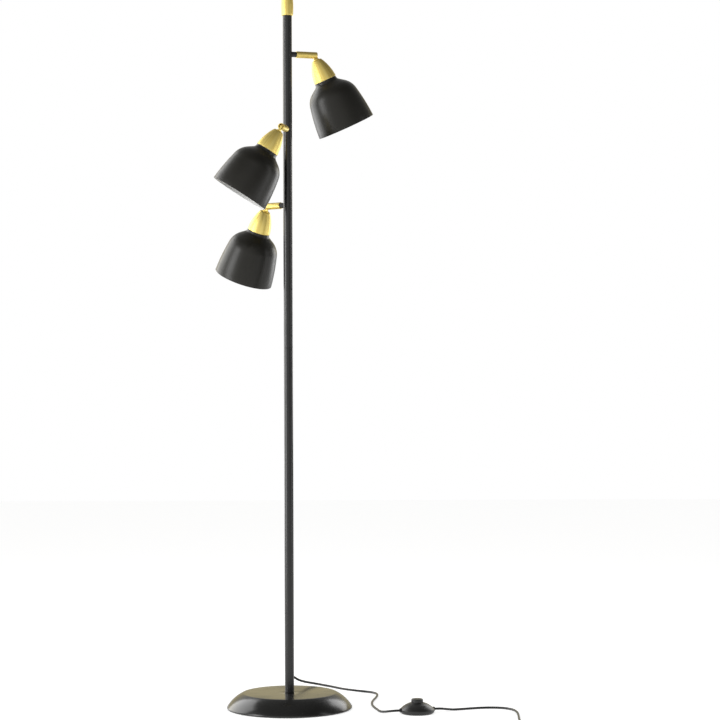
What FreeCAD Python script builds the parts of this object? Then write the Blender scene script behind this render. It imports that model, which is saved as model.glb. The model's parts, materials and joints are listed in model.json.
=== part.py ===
"""Floor lamp with a weighted round base, a two-piece pole and three swivelling, tilting bell shades.

Millimetres. The origin is on the floor, on the pole's axis, with +Z up and the flex leaving towards +Y.
"""
import FreeCAD, Part
import math
import os
import re
import Sketcher

Vector = FreeCAD.Vector
Rotation = FreeCAD.Rotation
Placement = FreeCAD.Placement

sizes = {
    # pole and finial
    "total_height": 1550,
    "pole_radius": 10,
    "pole_wall": 1.5,
    "pole_seam_height": 788.5,
    "pole_edge": 0.6,
    "joiner_half_length": 30,
    "joiner_bore_radius": 5.5,
    "finial_radius": 12.7,
    "finial_side_bend": 180,
    "finial_height": 36,
    "finial_edge": 1.8,
    "finial_socket_depth": 16,
    "fit_gap": 0.1,
    # base
    "base_radius": 137,
    "base_height": 35.3,
    "base_flat_radius": 102,
    "base_flank_bend": 76,
    "base_flank_foot": 4.6,
    "base_shoulder_bend": 10,
    "base_lip_height": 2.8,
    "base_lip_bend": 2.4,
    "base_rim_gap": 0.8,
    "base_sheet": 1.5,
    "pad_thickness": 3,
    "pad_radius": 131,
    "plate_thickness": 1.5,
    "plate_radius": 133,
    "bolt_well_radius": 17,
    "weight_radius": 118,
    "weight_thickness": 18,
    "weight_boss_radius": 30,
    "weight_edge": 2,
    "counterbore_height": 14.5,
    "bolt_radius": 4.9,
    "bolt_clearance": 0.5,
    "bolt_head_radius": 9.8,
    "bolt_head_height": 6.4,
    "bolt_reach": 20,
    "washer_radius": 15,
    "washer_thickness": 2,
    "foot_plug_length": 24,
    # flex, its relief and the wiring inside the pole
    "flex_radius": 2.5,
    "flex_lead": 14,
    "exit_height": 66.5,
    "boot_neck_start": 7.5,
    "boot_neck_radius": 3.9,
    "boot_flange_radius": 5.5,
    "boot_flange_reach": 12.5,
    "boot_taper_radius": 4.8,
    "boot_tip_radius": 3.5,
    "boot_reach": 30,
    "inner_flex_bend": 8,
    "branch_radius": 2.2,
    "branch_reach": 50,
    # arms
    "top_arm_drop": 120,
    "arm_spacing": 165,
    "first_arm_azimuth": 20,
    "arm_azimuth_step": 120,
    "stub_radius": 6,
    "stub_reach": 20,
    "spigot_radius": 4,
    "spigot_length": 10.5,
    "wire_bore_radius": 2.5,
    "arm_radius": 7.25,
    "arm_bore_radius": 5.75,
    "arm_end": 68,
    "arm_end_wall": 3,
    "arm_edge": 0.8,
    "swivel_gap": 0.15,
    "swivel_washer_thickness": 1,
    "swivel_nut_radius": 5.5,
    "swivel_nut_thickness": 5,
    "nut_slot_width": 2,
    "nut_slot_depth": 1.5,
    "pivot_reach": 62,
    "pivot_pin_radius": 1.5,
    "arm_slot_width": 5.5,
    "arm_slot_back": 5.3,
    # knuckles and caps
    "tongue_thickness": 5,
    "tongue_radius": 4.8,
    "collar_radius": 6.5,
    "collar_top": 9.6,
    "cap_top": 11,
    "stud_radius": 5,
    "stud_length": 13,
    "stud_floor": 1,
    "stud_bore_radius": 4.1,
    "core_radius": 0.75,
    "core_offset": 3.1,
    "core_bore_radius": 0.9,
    "core_top": 4.3,
    "core_end": 27,
    "cap_top_radius": 7.5,
    "cap_shoulder_radius": 12,
    "cap_shoulder_depth": 14,
    "cap_shoulder_bend": 5,
    "cap_rim_radius": 25.5,
    "cap_rim_depth": 58.5,
    "cap_flank_bend": 105,
    "cap_sheet": 1,
    "knuckle_nut_radius": 7.2,
    "knuckle_nut_thickness": 3,
    # lamp holders, rings and bulbs
    "holder_boss_radius": 7,
    "holder_boss_top": 16,
    "holder_shoulder_radius": 14.6,
    "holder_shoulder_depth": 24.8,
    "holder_sleeve_radius": 19.8,
    "holder_sleeve_depth": 38.5,
    "holder_flange_radius": 23,
    "holder_flange_thickness": 2.5,
    "holder_wall": 2.2,
    "holder_end_depth": 84,
    "holder_chamber_radius": 11.5,
    "holder_chamber_depth": 41,
    "holder_socket_radius": 13.9,
    "holder_socket_depth": 48.7,
    "ring_radius": 23.1,
    "ring_height": 6,
    "bulb_tip_depth": 49,
    "bulb_thread_radius": 13.2,
    "bulb_base_depth": 78,
    "bulb_neck_radius": 12.5,
    "bulb_globe_radius": 22.5,
    "bulb_globe_depth": 102.3,
    "bulb_wall": 0.9,
    "bulb_overlap": 3,
    "bulb_cone_height": 5,
    # shades
    "shade_neck_depth": 59.2,
    "shade_neck_radius": 24.7,
    "shade_flare_start": 60.5,
    "shade_flare_bend": 9,
    "shade_flare_radius": 28.5,
    "shade_flare_depth": 67.9,
    "shade_shoulder_radius": 39,
    "shade_shoulder_depth": 75.5,
    "shade_shoulder_bend": 43,
    "shade_skirt_radius": 56,
    "shade_skirt_depth": 103,
    "shade_skirt_bend": 450,
    "shade_rim_radius": 65,
    "shade_rim_depth": 171,
    "shade_sheet": 0.8,
    # resting attitudes of the heads, degrees
    "tilt_of_head_one": 25.7,
    "tilt_of_head_two": 6.3,
    "tilt_of_head_three": 24.7,
    "swivel_of_head_two": -32,
    # foot switch
    "switch_across": 277,
    "switch_forward": 71.7,
    "switch_turn": 16,
    "switch_radius": 37.5,
    "switch_seam": 8,
    "switch_sole_radius": 33,
    "switch_side_height": 5.5,
    "switch_side_bend": 9,
    "switch_wall": 2,
    "switch_crown_radius": 14.8,
    "switch_crown_height": 23.4,
    "switch_dome_bend": 46,
    "switch_dome_start": 9,
    "collar_length": 1.6,
    "switch_collar_radius": 4.6,
    "button_radius": 12.75,
    "button_gap": 0.45,
    "button_top": 31.5,
    "button_edge": 2.2,
    "button_wall": 2,
    "button_skirt_height": 15,
    "button_flange_radius": 14.4,
    "button_flange_thickness": 2.2,
    "button_stop_gap": 0.3,
    "spring_radius": 5,
    "spring_wire_radius": 0.45,
    "spring_turns": 8,
    "screw_ring_radius": 26,
    "screw_head_radius": 2.6,
    "screw_head_height": 1.8,
    "screw_shank_radius": 1.2,
    "screw_recess": 0.8,
    "screw_length": 10.5,
    "screw_boss_radius": 3.1,
    "screw_boss_height": 15,
    # put-away coil, its tie and the plug
    "coil_across": 453,
    "coil_forward": 272,
    "coil_outer_radius": 36,
    "coil_pitch": 5.7,
    "coil_layer_pitch": 5.7,
    "coil_turns": 5.25,
    "coil_height": 3.5,
    "coil_softness": 0.8,
    "tie_width": 4,
    "tie_thickness": 0.6,
    "tie_gap": 0.3,
    "tie_angle": 60,
    "plug_across": 409,
    "plug_forward": 307,
    "plug_height": 7.5,
    "plug_length": 34,
    "plug_neck_radius": 4.2,
    "plug_neck_length": 9,
    "plug_back_width": 12,
    "plug_back_thickness": 10,
    "plug_waist": 13,
    "plug_face_width": 26,
    "plug_thickness": 13.8,
    "plug_edge": 2.4,
    "pin_radius": 2,
    "pin_spacing": 18.6,
    "pin_length": 19,
    "pin_root": 5,
}

arm_count = 3
screw_count = 3
full_turn = 360

doc = FreeCAD.newDocument("FloorLamp")
sheet = doc.addObject("Spreadsheet::Sheet", "Sizes")
for row, (name, number) in enumerate(sizes.items(), start=1):
    sheet.set(f"A{row}", name)
    sheet.set(f"B{row}", str(number))
    sheet.setAlias(f"B{row}", name)
doc.recompute()

calculator = doc.addObject("App::FeaturePython", "Calculator")
nodes = []


def bound(words):
    """A formula in plain size names, turned into one that points at the sheet's cells."""
    return re.sub(r"[a-z][a-z_]+", lambda word: "Sizes." + word[0] if word[0] in sizes else word[0], words)


def size(words):
    """The present value of a formula in plain size names."""
    return float(calculator.evalExpression(bound(words)))


# Drawing and shaping


def new_body(label):
    body = doc.addObject("PartDesign::Body", label)
    body.Label = label
    nodes.append(body)
    return body


def new_sketch(body, role):
    sketch = body.newObject("Sketcher::SketchObject", "Sketch")
    plane = next(feature for feature in body.Origin.OriginFeatures if feature.Role == role)
    sketch.AttachmentSupport = [(plane, "")]
    sketch.MapMode = "FlatFace"
    return sketch


def pin_point(sketch, edge, end, across, along):
    """Holds one end of an edge, or a circle's centre, at two formulas."""
    for kind, axis, words in (("DistanceX", -2, across), ("DistanceY", -1, along)):
        if words == "0":
            sketch.addConstraint(Sketcher.Constraint("PointOnObject", edge, end, axis))
            continue
        index = sketch.addConstraint(Sketcher.Constraint(kind, edge, end, size(words)))
        sketch.setExpression(f"Constraints[{index}]", bound(words))


def arc_between(start, end, radius, turn):
    """The short arc from start to end that turns left or right, drawn counterclockwise."""
    chord = end - start
    middle = (start + end) * 0.5
    left = Vector(-chord.y, chord.x, 0).normalize()
    side = 1 if turn == "left" else -1
    centre = middle + left * side * math.sqrt(radius ** 2 - (chord.Length / 2) ** 2)
    first = math.atan2(start.y - centre.y, start.x - centre.x)
    last = math.atan2(end.y - centre.y, end.x - centre.x)
    if turn == "right":
        first, last = last, first
    return Part.ArcOfCircle(Part.Circle(centre, Vector(0, 0, 1), radius), first, last)


def draw_outline(sketch, corners):
    """Joins the corners in a closed outline. A corner with a bend starts an arc instead of a line."""
    places = [Vector(size(corner[0]), size(corner[1]), 0) for corner in corners]
    edges = []
    for index, corner in enumerate(corners):
        start = places[index]
        end = places[(index + 1) % len(corners)]
        if len(corner) == 2:
            edge = sketch.addGeometry(Part.LineSegment(start, end), False)
            edges.append((edge, 1, 2))
            continue
        bend, turn = corner[2:]
        edge = sketch.addGeometry(arc_between(start, end, size(bend), turn), False)
        edges.append((edge, 1, 2) if turn == "left" else (edge, 2, 1))
        radius = sketch.addConstraint(Sketcher.Constraint("Radius", edge, size(bend)))
        sketch.setExpression(f"Constraints[{radius}]", bound(bend))
    for index, (edge, head, tail) in enumerate(edges):
        after, after_head, _ = edges[(index + 1) % len(edges)]
        sketch.addConstraint(Sketcher.Constraint("Coincident", edge, tail, after, after_head))
        pin_point(sketch, edge, head, corners[index][0], corners[index][1])


def draw_circle(sketch, across, along, radius):
    centre = Vector(size(across), size(along), 0)
    edge = sketch.addGeometry(Part.Circle(centre, Vector(0, 0, 1), size(radius)), False)
    index = sketch.addConstraint(Sketcher.Constraint("Radius", edge, size(radius)))
    sketch.setExpression(f"Constraints[{index}]", bound(radius))
    if across == "0" and along == "0":
        sketch.addConstraint(Sketcher.Constraint("Coincident", edge, 3, -1, 1))
    else:
        pin_point(sketch, edge, 3, across, along)


def spin(body, corners):
    """Turns an outline of (radius, height) corners about the body's own Z axis."""
    sketch = new_sketch(body, "XZ_Plane")
    draw_outline(sketch, corners)
    turned = body.newObject("PartDesign::Revolution", "Revolution")
    turned.Profile = sketch
    turned.ReferenceAxis = (sketch, ["V_Axis"])
    turned.Angle = full_turn
    return turned


def spun(label, corners):
    body = new_body(label)
    spin(body, corners)
    return body


def tube(label, outer, inner, bottom, top, edge):
    """A plain tube, with its outer corners broken by a small chamfer."""
    return spun(label, [
        (inner, bottom),
        (f"{outer} - {edge}", bottom),
        (outer, f"{bottom} + {edge}"),
        (outer, f"{top} - {edge}"),
        (f"{outer} - {edge}", top),
        (inner, top),
    ])


def disc(label, outer, inner, bottom, top):
    return spun(label, [(inner, bottom), (outer, bottom), (outer, top), (inner, top)])


def hollow(body, wall, open_height):
    """Makes a solid body into a sheet of one thickness, open at the flat face at that height."""
    doc.recompute()
    solid = body.Tip
    height = size(open_height)
    faces = []
    for number, face in enumerate(solid.Shape.Faces, start=1):
        if isinstance(face.Surface, Part.Plane) and abs(face.CenterOfMass.z - height) < 0.001:
            faces.append(f"Face{number}")
    shell = body.newObject("PartDesign::Thickness", "Thickness")
    shell.Base = (solid, faces)
    shell.setExpression("Value", bound(wall))
    shell.Join = "Intersection"
    shell.Reversed = True
    doc.recompute()


def round_edge(body, bend, radius, height):
    """Rounds the circular edge of that radius at that height."""
    doc.recompute()
    solid = body.Tip
    wanted = (size(radius), size(height))
    edges = []
    for number, edge in enumerate(solid.Shape.Edges, start=1):
        if not isinstance(edge.Curve, Part.Circle):
            continue
        found = (edge.Curve.Radius, edge.Curve.Center.z)
        if max(abs(found[0] - wanted[0]), abs(found[1] - wanted[1])) < 0.001:
            edges.append(f"Edge{number}")
    fillet = body.newObject("PartDesign::Fillet", "Fillet")
    fillet.Base = (solid, edges)
    fillet.setExpression("Radius", bound(bend))


def add_pad(body, role, draw, length, symmetric=False):
    sketch = new_sketch(body, role)
    draw(sketch)
    pad = body.newObject("PartDesign::Pad", "Pad")
    pad.Profile = sketch
    pad.setExpression("Length", bound(length))
    pad.SideType = "Symmetric" if symmetric else "One side"
    return pad


def cut_through(body, role, draw):
    """A pocket right through, both ways from the sketch's plane."""
    sketch = new_sketch(body, role)
    draw(sketch)
    pocket = body.newObject("PartDesign::Pocket", "Pocket")
    pocket.Profile = sketch
    pocket.Type = "ThroughAll"
    pocket.SideType = "Symmetric"
    return pocket


def primitive(body, kind, lengths, base, turn=Rotation()):
    """One primitive, such as SubtractiveCylinder, with its lengths and its place in the body bound."""
    made = body.newObject("PartDesign::" + kind, kind)
    for name, words in lengths.items():
        made.setExpression(name, bound(words))
    made.Placement = Placement(Vector(*[size(words) for words in base]), turn)
    for axis, words in zip("xyz", base):
        made.setExpression(f"Placement.Base.{axis}", bound(words))
    return made


def compound(label, members):
    """Several like pieces kept together, each still a solid of its own."""
    for member in members:
        nodes.remove(member)
    group = doc.addObject("Part::Compound", label)
    group.Label = label
    group.Links = members
    nodes.append(group)
    return group


def feature(label, shape):
    made = doc.addObject("Part::Feature", label)
    made.Label = label
    made.Shape = shape
    nodes.append(made)
    return made


# Swept tubes


def arc_middle(start, knee, end):
    """The middle of the arc that touches start-knee and knee-end at start and end."""
    chord_middle = (start + end) * 0.5
    half_turn = (knee - start).getAngle(end - knee) / 2
    share = math.tan(half_turn / 2) / math.tan(half_turn)
    return chord_middle + (knee - chord_middle) * share


def rounded_path(points):
    """Straight runs joined by tangent arcs, each as large as its two runs allow. Returns edges and radii."""
    tangent_share = 0.45
    edges = []
    radii = []
    reached = points[0]
    for before, corner, after in zip(points, points[1:], points[2:]):
        run = min((corner - before).Length, (after - corner).Length) * tangent_share
        turn = (corner - before).getAngle(after - corner)
        start = corner + (before - corner).normalize() * run
        end = corner + (after - corner).normalize() * run
        edges.append(Part.LineSegment(reached, start).toShape())
        edges.append(Part.Arc(start, arc_middle(start, corner, end), end).toShape())
        radii.append(run / math.tan(turn / 2))
        reached = end
    edges.append(Part.LineSegment(reached, points[-1]).toShape())
    return edges, radii


def biarc(start, start_way, end, end_way):
    """Two arcs that leave start and reach end in the given ways and meet smoothly."""
    span = end - start
    ways = start_way + end_way
    bend = 2 * (1 - start_way.dot(end_way))
    along = span.dot(ways)
    reach = (math.sqrt(along ** 2 + bend * span.dot(span)) - along) / bend
    first_knee = start + start_way * reach
    last_knee = end - end_way * reach
    joint = (first_knee + last_knee) * 0.5
    first = Part.Arc(start, arc_middle(start, first_knee, joint), joint)
    last = Part.Arc(joint, arc_middle(joint, last_knee, end), end)
    return [first.toShape(), last.toShape()]


def winding_path(place, turns, steps_per_turn):
    """Biarcs through a winding whose place(angle) gives a point and the way it runs there."""
    steps = round(turns * steps_per_turn)
    stations = [place(2 * math.pi * turns * step / steps) for step in range(steps + 1)]
    edges = []
    for (start, start_way), (end, end_way) in zip(stations, stations[1:]):
        edges += biarc(start, start_way, end, end_way)
    return edges


def swept(label, edges, radius):
    """A round tube along the edges. Its volume is compared with its section times its length."""
    path = Part.Wire(edges)
    first = edges[0]
    start = first.valueAt(first.FirstParameter)
    way = first.tangentAt(first.FirstParameter)
    ring = Part.Wire(Part.makeCircle(radius, start, way))
    solid = path.makePipeShell([ring], True, False)
    expected = math.pi * radius ** 2 * path.Length
    print(f"{label}: length {path.Length:.1f}, volume {solid.Volume:.0f}, section x length {expected:.0f}")
    return feature(label, solid)


def least_self_gap(edges, diameter):
    """The least clear gap between parts of a winding that lie more than a third of a turn apart."""
    step = diameter / 2
    points = [point for edge in edges for point in edge.discretize(Distance=step)[:-1]]
    skip = round(6 * diameter / step)
    gap = min(
        points[index].distanceToPoint(other)
        for index in range(len(points))
        for other in points[index + skip:]
    )
    return gap - diameter


# Base


def make_base():
    plate_top = "pad_thickness + plate_thickness"
    weight_top = f"{plate_top} + weight_thickness"
    cover_underside = "base_height - base_sheet"
    bolt_hole = "bolt_radius + bolt_clearance"

    lip_inside = "base_radius - base_lip_bend - base_sheet"
    cover = spun("base_cover", [
        (lip_inside, "base_rim_gap"),
        ("base_radius - base_lip_bend", "base_rim_gap", "base_lip_bend", "left"),
        ("base_radius", "base_lip_height"),
        ("base_radius", "base_flank_foot", "base_flank_bend", "left"),
        ("base_flat_radius", "base_height"),
        (bolt_hole, "base_height"),
        (bolt_hole, cover_underside),
        ("base_flat_radius", cover_underside, "base_flank_bend", "right"),
        ("base_radius - base_sheet", "base_flank_foot"),
        (lip_inside, "base_lip_height"),
    ])
    round_edge(cover, "base_shoulder_bend", "base_flat_radius", "base_height")

    spun("base_weight", [
        (bolt_hole, "counterbore_height"),
        ("bolt_well_radius", "counterbore_height"),
        ("bolt_well_radius", plate_top),
        ("weight_radius", plate_top),
        ("weight_radius", f"{weight_top} - weight_edge"),
        ("weight_radius - weight_edge", weight_top),
        ("weight_boss_radius", weight_top),
        ("weight_boss_radius", cover_underside),
        (bolt_hole, cover_underside),
    ])
    disc("base_plate", "plate_radius", "bolt_well_radius", "pad_thickness", plate_top)
    disc("base_pad", "pad_radius", "0", "0", "pad_thickness")

    washer_bottom = "counterbore_height - washer_thickness"
    disc("base_washer", "washer_radius", bolt_hole, washer_bottom, "counterbore_height")
    bolt = new_body("base_bolt")
    head_bottom = f"{washer_bottom} - bolt_head_height"
    head = {"Circumradius": "bolt_head_radius", "Height": "bolt_head_height"}
    primitive(bolt, "AdditivePrism", head, ("0", "0", head_bottom))
    shank = {"Radius": "bolt_radius", "Height": f"base_height + bolt_reach - ({washer_bottom})"}
    primitive(bolt, "AdditiveCylinder", shank, ("0", "0", washer_bottom))


# Pole


def make_pole():
    inner = "pole_radius - pole_wall"
    plug_top = "base_height + foot_plug_length"
    pole_top = "total_height - finial_height + finial_socket_depth"
    joiner_bottom = "pole_seam_height - joiner_half_length"
    joiner_top = "pole_seam_height + joiner_half_length"
    snug = f"{inner} - fit_gap"

    tube("foot_plug", snug, "bolt_radius + fit_gap", "base_height", plug_top, "pole_edge")
    lower = tube("pole_lower", "pole_radius", inner, "base_height", "pole_seam_height", "pole_edge")
    side_hole = {"Radius": "boot_neck_radius + fit_gap", "Height": "pole_radius + pole_wall"}
    primitive(lower, "SubtractiveCylinder", side_hole, ("0", "0", "exit_height"), backwards)
    tube("pole_joiner", snug, "joiner_bore_radius", joiner_bottom, joiner_top, "pole_edge")
    upper = tube("pole_upper", "pole_radius", inner, "pole_seam_height", pole_top, "pole_edge")
    wire_hole = {"Radius": "wire_bore_radius", "Height": "pole_radius + pole_wall"}
    for arm in range(arm_count):
        outwards = Rotation(up, azimuth(arm)) * Rotation(sideways, 90)
        primitive(upper, "SubtractiveCylinder", wire_hole, ("0", "0", arm_height(arm)), outwards)

    bottom = "total_height - finial_height"
    socket = "pole_radius + fit_gap"
    spun("finial", [
        (socket, bottom),
        ("finial_radius - finial_edge", bottom, "finial_edge", "left"),
        ("finial_radius", f"{bottom} + finial_edge", "finial_side_bend", "left"),
        ("finial_radius", "total_height - finial_edge", "finial_edge", "left"),
        ("finial_radius - finial_edge", "total_height"),
        ("0", "total_height"),
        ("0", pole_top),
        (socket, pole_top),
    ])


def make_cord_boot():
    """The tapered relief at the back of the pole. Its own Z axis points backwards."""
    boot = spun("cord_boot", [
        ("0", "boot_neck_start"),
        ("boot_flange_radius", "boot_neck_start"),
        ("boot_flange_radius", "boot_flange_reach"),
        ("boot_taper_radius", "boot_flange_reach"),
        ("boot_tip_radius", "boot_reach"),
        ("0", "boot_reach"),
    ])
    cut_through(boot, "XZ_Plane", lambda sketch: draw_circle(sketch, "0", "0", "pole_radius"))
    neck = {"Radius": "boot_neck_radius", "Height": "boot_flange_reach - boot_neck_start"}
    primitive(boot, "AdditiveCylinder", neck, ("0", "0", "boot_neck_start"))
    bore = {"Radius": "flex_radius + fit_gap", "Height": "boot_reach"}
    primitive(boot, "SubtractiveCylinder", bore, ("0", "0", "0"))
    boot.Placement = Placement(Vector(0, 0, size("exit_height")), backwards)


def make_pole_wiring():
    """The flex from the relief's tip up the pole, with a branch through each arm stub."""
    exit_height = size("exit_height")
    bend = size("inner_flex_bend")
    radius = size("flex_radius")
    branch_radius = size("branch_radius")
    tip = Vector(0, size("boot_reach"), exit_height)
    before = Vector(0, bend, exit_height)
    knee = Vector(0, 0, exit_height)
    after = Vector(0, 0, exit_height + bend)
    top = Vector(0, 0, size(arm_height(0)) + branch_radius)
    run_in = Part.LineSegment(tip, before).toShape()
    turn_up = Part.Arc(before, arc_middle(before, knee, after), after).toShape()
    run_up = Part.LineSegment(after, top).toShape()
    ring = Part.Wire(Part.makeCircle(radius, tip, Vector(0, -1, 0)))
    shape = Part.Wire([run_in, turn_up, run_up]).makePipeShell([ring], True, False)
    for arm in range(arm_count):
        start = Vector(0, 0, size(arm_height(arm)))
        branch = Part.makeCylinder(branch_radius, size("branch_reach"), start, outward(arm))
        shape = shape.fuse(branch)
    feature("pole_wiring", shape)


# Arms


def make_arm(arm):
    """One arm, drawn with its own Z axis pointing outwards and its X axis up at rest."""
    number = arm + 1
    fixed = Placement(Vector(0, 0, size(arm_height(arm))), Rotation(up, azimuth(arm)) * lie_down)
    swivel = Rotation(Vector(1, 0, 0), size(heads[arm]["swivel"]))
    turned = Placement(fixed.Base, Rotation(up, azimuth(arm)) * swivel * lie_down)
    arm_start = "stub_reach + swivel_gap"
    wall_end = f"{arm_start} + arm_end_wall"
    nut_seat = f"{wall_end} + swivel_gap + swivel_washer_thickness"
    spigot_end = "stub_reach + spigot_length"

    stub = spun(f"arm_stub_{number}", [
        ("wire_bore_radius", "pole_radius / 2"),
        ("stub_radius", "pole_radius / 2"),
        ("stub_radius", "stub_reach"),
        ("spigot_radius", "stub_reach"),
        ("spigot_radius", spigot_end),
        ("wire_bore_radius", spigot_end),
    ])
    cut_through(stub, "YZ_Plane", lambda sketch: draw_circle(sketch, "0", "0", "pole_radius"))
    stub.Placement = fixed

    washer_start = f"{wall_end} + swivel_gap"
    nut_end = f"{nut_seat} + swivel_nut_thickness"
    outer = "swivel_nut_radius"
    washer = disc(f"swivel_washer_{number}", outer, "spigot_radius + fit_gap", washer_start, nut_seat)
    nut = disc(f"swivel_nut_{number}", outer, "spigot_radius + fit_gap / 2", nut_seat, nut_end)
    slot = {"Length": "3 * swivel_nut_radius", "Width": "nut_slot_width", "Height": "nut_slot_depth"}
    slot_corner = ("-1.5 * swivel_nut_radius", "-0.5 * nut_slot_width", f"{nut_end} - nut_slot_depth")
    primitive(nut, "SubtractiveBox", slot, slot_corner)
    washer.Placement = fixed
    nut.Placement = fixed

    bore = "spigot_radius + swivel_gap"
    tube_body = spun(f"arm_{number}", [
        (bore, arm_start),
        ("arm_radius - arm_edge", arm_start, "arm_edge", "left"),
        ("arm_radius", f"{arm_start} + arm_edge"),
        ("arm_radius", "arm_end - arm_edge", "arm_edge", "left"),
        ("arm_radius - arm_edge", "arm_end"),
        ("arm_bore_radius", "arm_end"),
        ("arm_bore_radius", wall_end),
        (bore, wall_end),
    ])
    slot_start = "pivot_reach - arm_slot_back"
    slot_length = f"arm_end - ({slot_start}) + arm_edge"
    slot = {"Length": "2 * arm_radius", "Width": "arm_slot_width", "Height": slot_length}
    primitive(tube_body, "SubtractiveBox", slot, ("-2 * arm_radius", "-0.5 * arm_slot_width", slot_start))
    pin_hole = {"Radius": "pivot_pin_radius + fit_gap / 2", "Height": "4 * arm_radius"}
    primitive(tube_body, "SubtractiveCylinder", pin_hole, ("0", "-2 * arm_radius", "pivot_reach"), backwards)
    tube_body.Placement = turned

    pin = new_body(f"pivot_pin_{number}")
    shank = {"Radius": "pivot_pin_radius", "Height": "2 * (arm_radius - fit_gap)"}
    primitive(pin, "AdditiveCylinder", shank, ("0", "fit_gap - arm_radius", "pivot_reach"), backwards)
    pin.Placement = turned
    return washer, nut


# Heads, each drawn about its pivot with its own Z axis pointing down into the shade


def make_knuckle(label):
    knuckle = new_body(label)
    left_edge = "-1 * tongue_radius"
    draw_tongue = [
        (left_edge, "0", "tongue_radius", "left"),
        ("0", left_edge, "tongue_radius", "left"),
        ("tongue_radius", "0"),
        ("tongue_radius", "cap_top"),
        (left_edge, "cap_top"),
    ]
    add_pad(knuckle, "XZ_Plane", lambda sketch: draw_outline(sketch, draw_tongue), "tongue_thickness", True)
    stud_end = "cap_top + stud_length"
    bore_top = "cap_top + stud_floor"
    spin(knuckle, [
        ("0", "collar_top"),
        ("collar_radius", "collar_top"),
        ("collar_radius", "cap_top"),
        ("stud_radius", "cap_top"),
        ("stud_radius", stud_end),
        ("stud_bore_radius", stud_end),
        ("stud_bore_radius", bore_top),
        ("0", bore_top),
    ])
    pin_bore = "pivot_pin_radius + fit_gap"
    cut_through(knuckle, "XZ_Plane", lambda sketch: draw_circle(sketch, "0", "0", pin_bore))
    for side in (-1, 1):
        core_bore = {"Radius": "core_bore_radius", "Height": f"tongue_radius + {bore_top} + stud_floor"}
        primitive(knuckle, "SubtractiveCylinder", core_bore, (f"{side} * core_offset", "0", left_edge))
    return knuckle


def make_cap(label):
    cap = spun(label, [
        ("0", "cap_top"),
        ("cap_top_radius", "cap_top", "cap_shoulder_bend", "left"),
        ("cap_shoulder_radius", "cap_shoulder_depth", "cap_flank_bend", "left"),
        ("cap_rim_radius", "cap_rim_depth"),
        ("0", "cap_rim_depth"),
    ])
    hollow(cap, "cap_sheet", "cap_rim_depth")
    hole = {"Radius": "stud_radius + fit_gap", "Height": "cap_top + 2 * cap_sheet"}
    primitive(cap, "SubtractiveCylinder", hole, ("0", "0", "0"))
    return cap


def make_knuckle_nut(label):
    nut = new_body(label)
    hexagon = {"Circumradius": "knuckle_nut_radius", "Height": "knuckle_nut_thickness"}
    seat = "cap_top + cap_sheet"
    primitive(nut, "AdditivePrism", hexagon, ("0", "0", seat))
    hole = {"Radius": "stud_radius + fit_gap / 2", "Height": "knuckle_nut_thickness"}
    primitive(nut, "SubtractiveCylinder", hole, ("0", "0", seat))
    return nut


def make_head_wires(label):
    cores = []
    for side, name in ((-1, "inner"), (1, "outer")):
        core = new_body(f"{label}_{name}")
        strand = {"Radius": "core_radius", "Height": "core_top + core_end"}
        primitive(core, "AdditiveCylinder", strand, (f"{side} * core_offset", "0", "-1 * core_top"))
        cores.append(core)
    return compound(label, cores)


def make_lamp_holder(label):
    stud_hole = "stud_radius + fit_gap"
    chamber_top = "holder_shoulder_depth + holder_wall"
    flange_top = "shade_neck_depth - holder_flange_thickness"
    return spun(label, [
        (stud_hole, "holder_boss_top"),
        ("holder_boss_radius", "holder_boss_top"),
        ("holder_boss_radius", "holder_shoulder_depth"),
        ("holder_shoulder_radius", "holder_shoulder_depth"),
        ("holder_shoulder_radius", "holder_sleeve_depth - holder_wall"),
        ("holder_sleeve_radius", "holder_sleeve_depth"),
        ("holder_sleeve_radius", flange_top),
        ("holder_flange_radius", flange_top),
        ("holder_flange_radius", "shade_neck_depth"),
        ("holder_sleeve_radius", "shade_neck_depth"),
        ("holder_sleeve_radius", "holder_end_depth"),
        ("holder_socket_radius", "holder_end_depth"),
        ("holder_socket_radius", "holder_socket_depth"),
        ("0", "holder_socket_depth"),
        ("0", "holder_chamber_depth"),
        ("holder_chamber_radius", "holder_chamber_depth"),
        ("holder_chamber_radius", chamber_top),
        (stud_hole, chamber_top),
    ])


def make_shade_ring(label):
    top = "shade_neck_depth + shade_sheet"
    return disc(label, "ring_radius", "holder_sleeve_radius + fit_gap", top, f"{top} + ring_height")


def make_shade(label):
    shade = spun(label, [
        ("0", "shade_neck_depth"),
        ("shade_neck_radius", "shade_neck_depth"),
        ("shade_neck_radius", "shade_flare_start", "shade_flare_bend", "right"),
        ("shade_flare_radius", "shade_flare_depth"),
        ("shade_shoulder_radius", "shade_shoulder_depth", "shade_shoulder_bend", "left"),
        ("shade_skirt_radius", "shade_skirt_depth", "shade_skirt_bend", "left"),
        ("shade_rim_radius", "shade_rim_depth"),
        ("0", "shade_rim_depth"),
    ])
    hollow(shade, "shade_sheet", "shade_rim_depth")
    hole = {"Radius": "holder_sleeve_radius + fit_gap", "Height": "shade_neck_depth + 2 * shade_sheet"}
    primitive(shade, "SubtractiveCylinder", hole, ("0", "0", "0"))
    return shade


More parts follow.
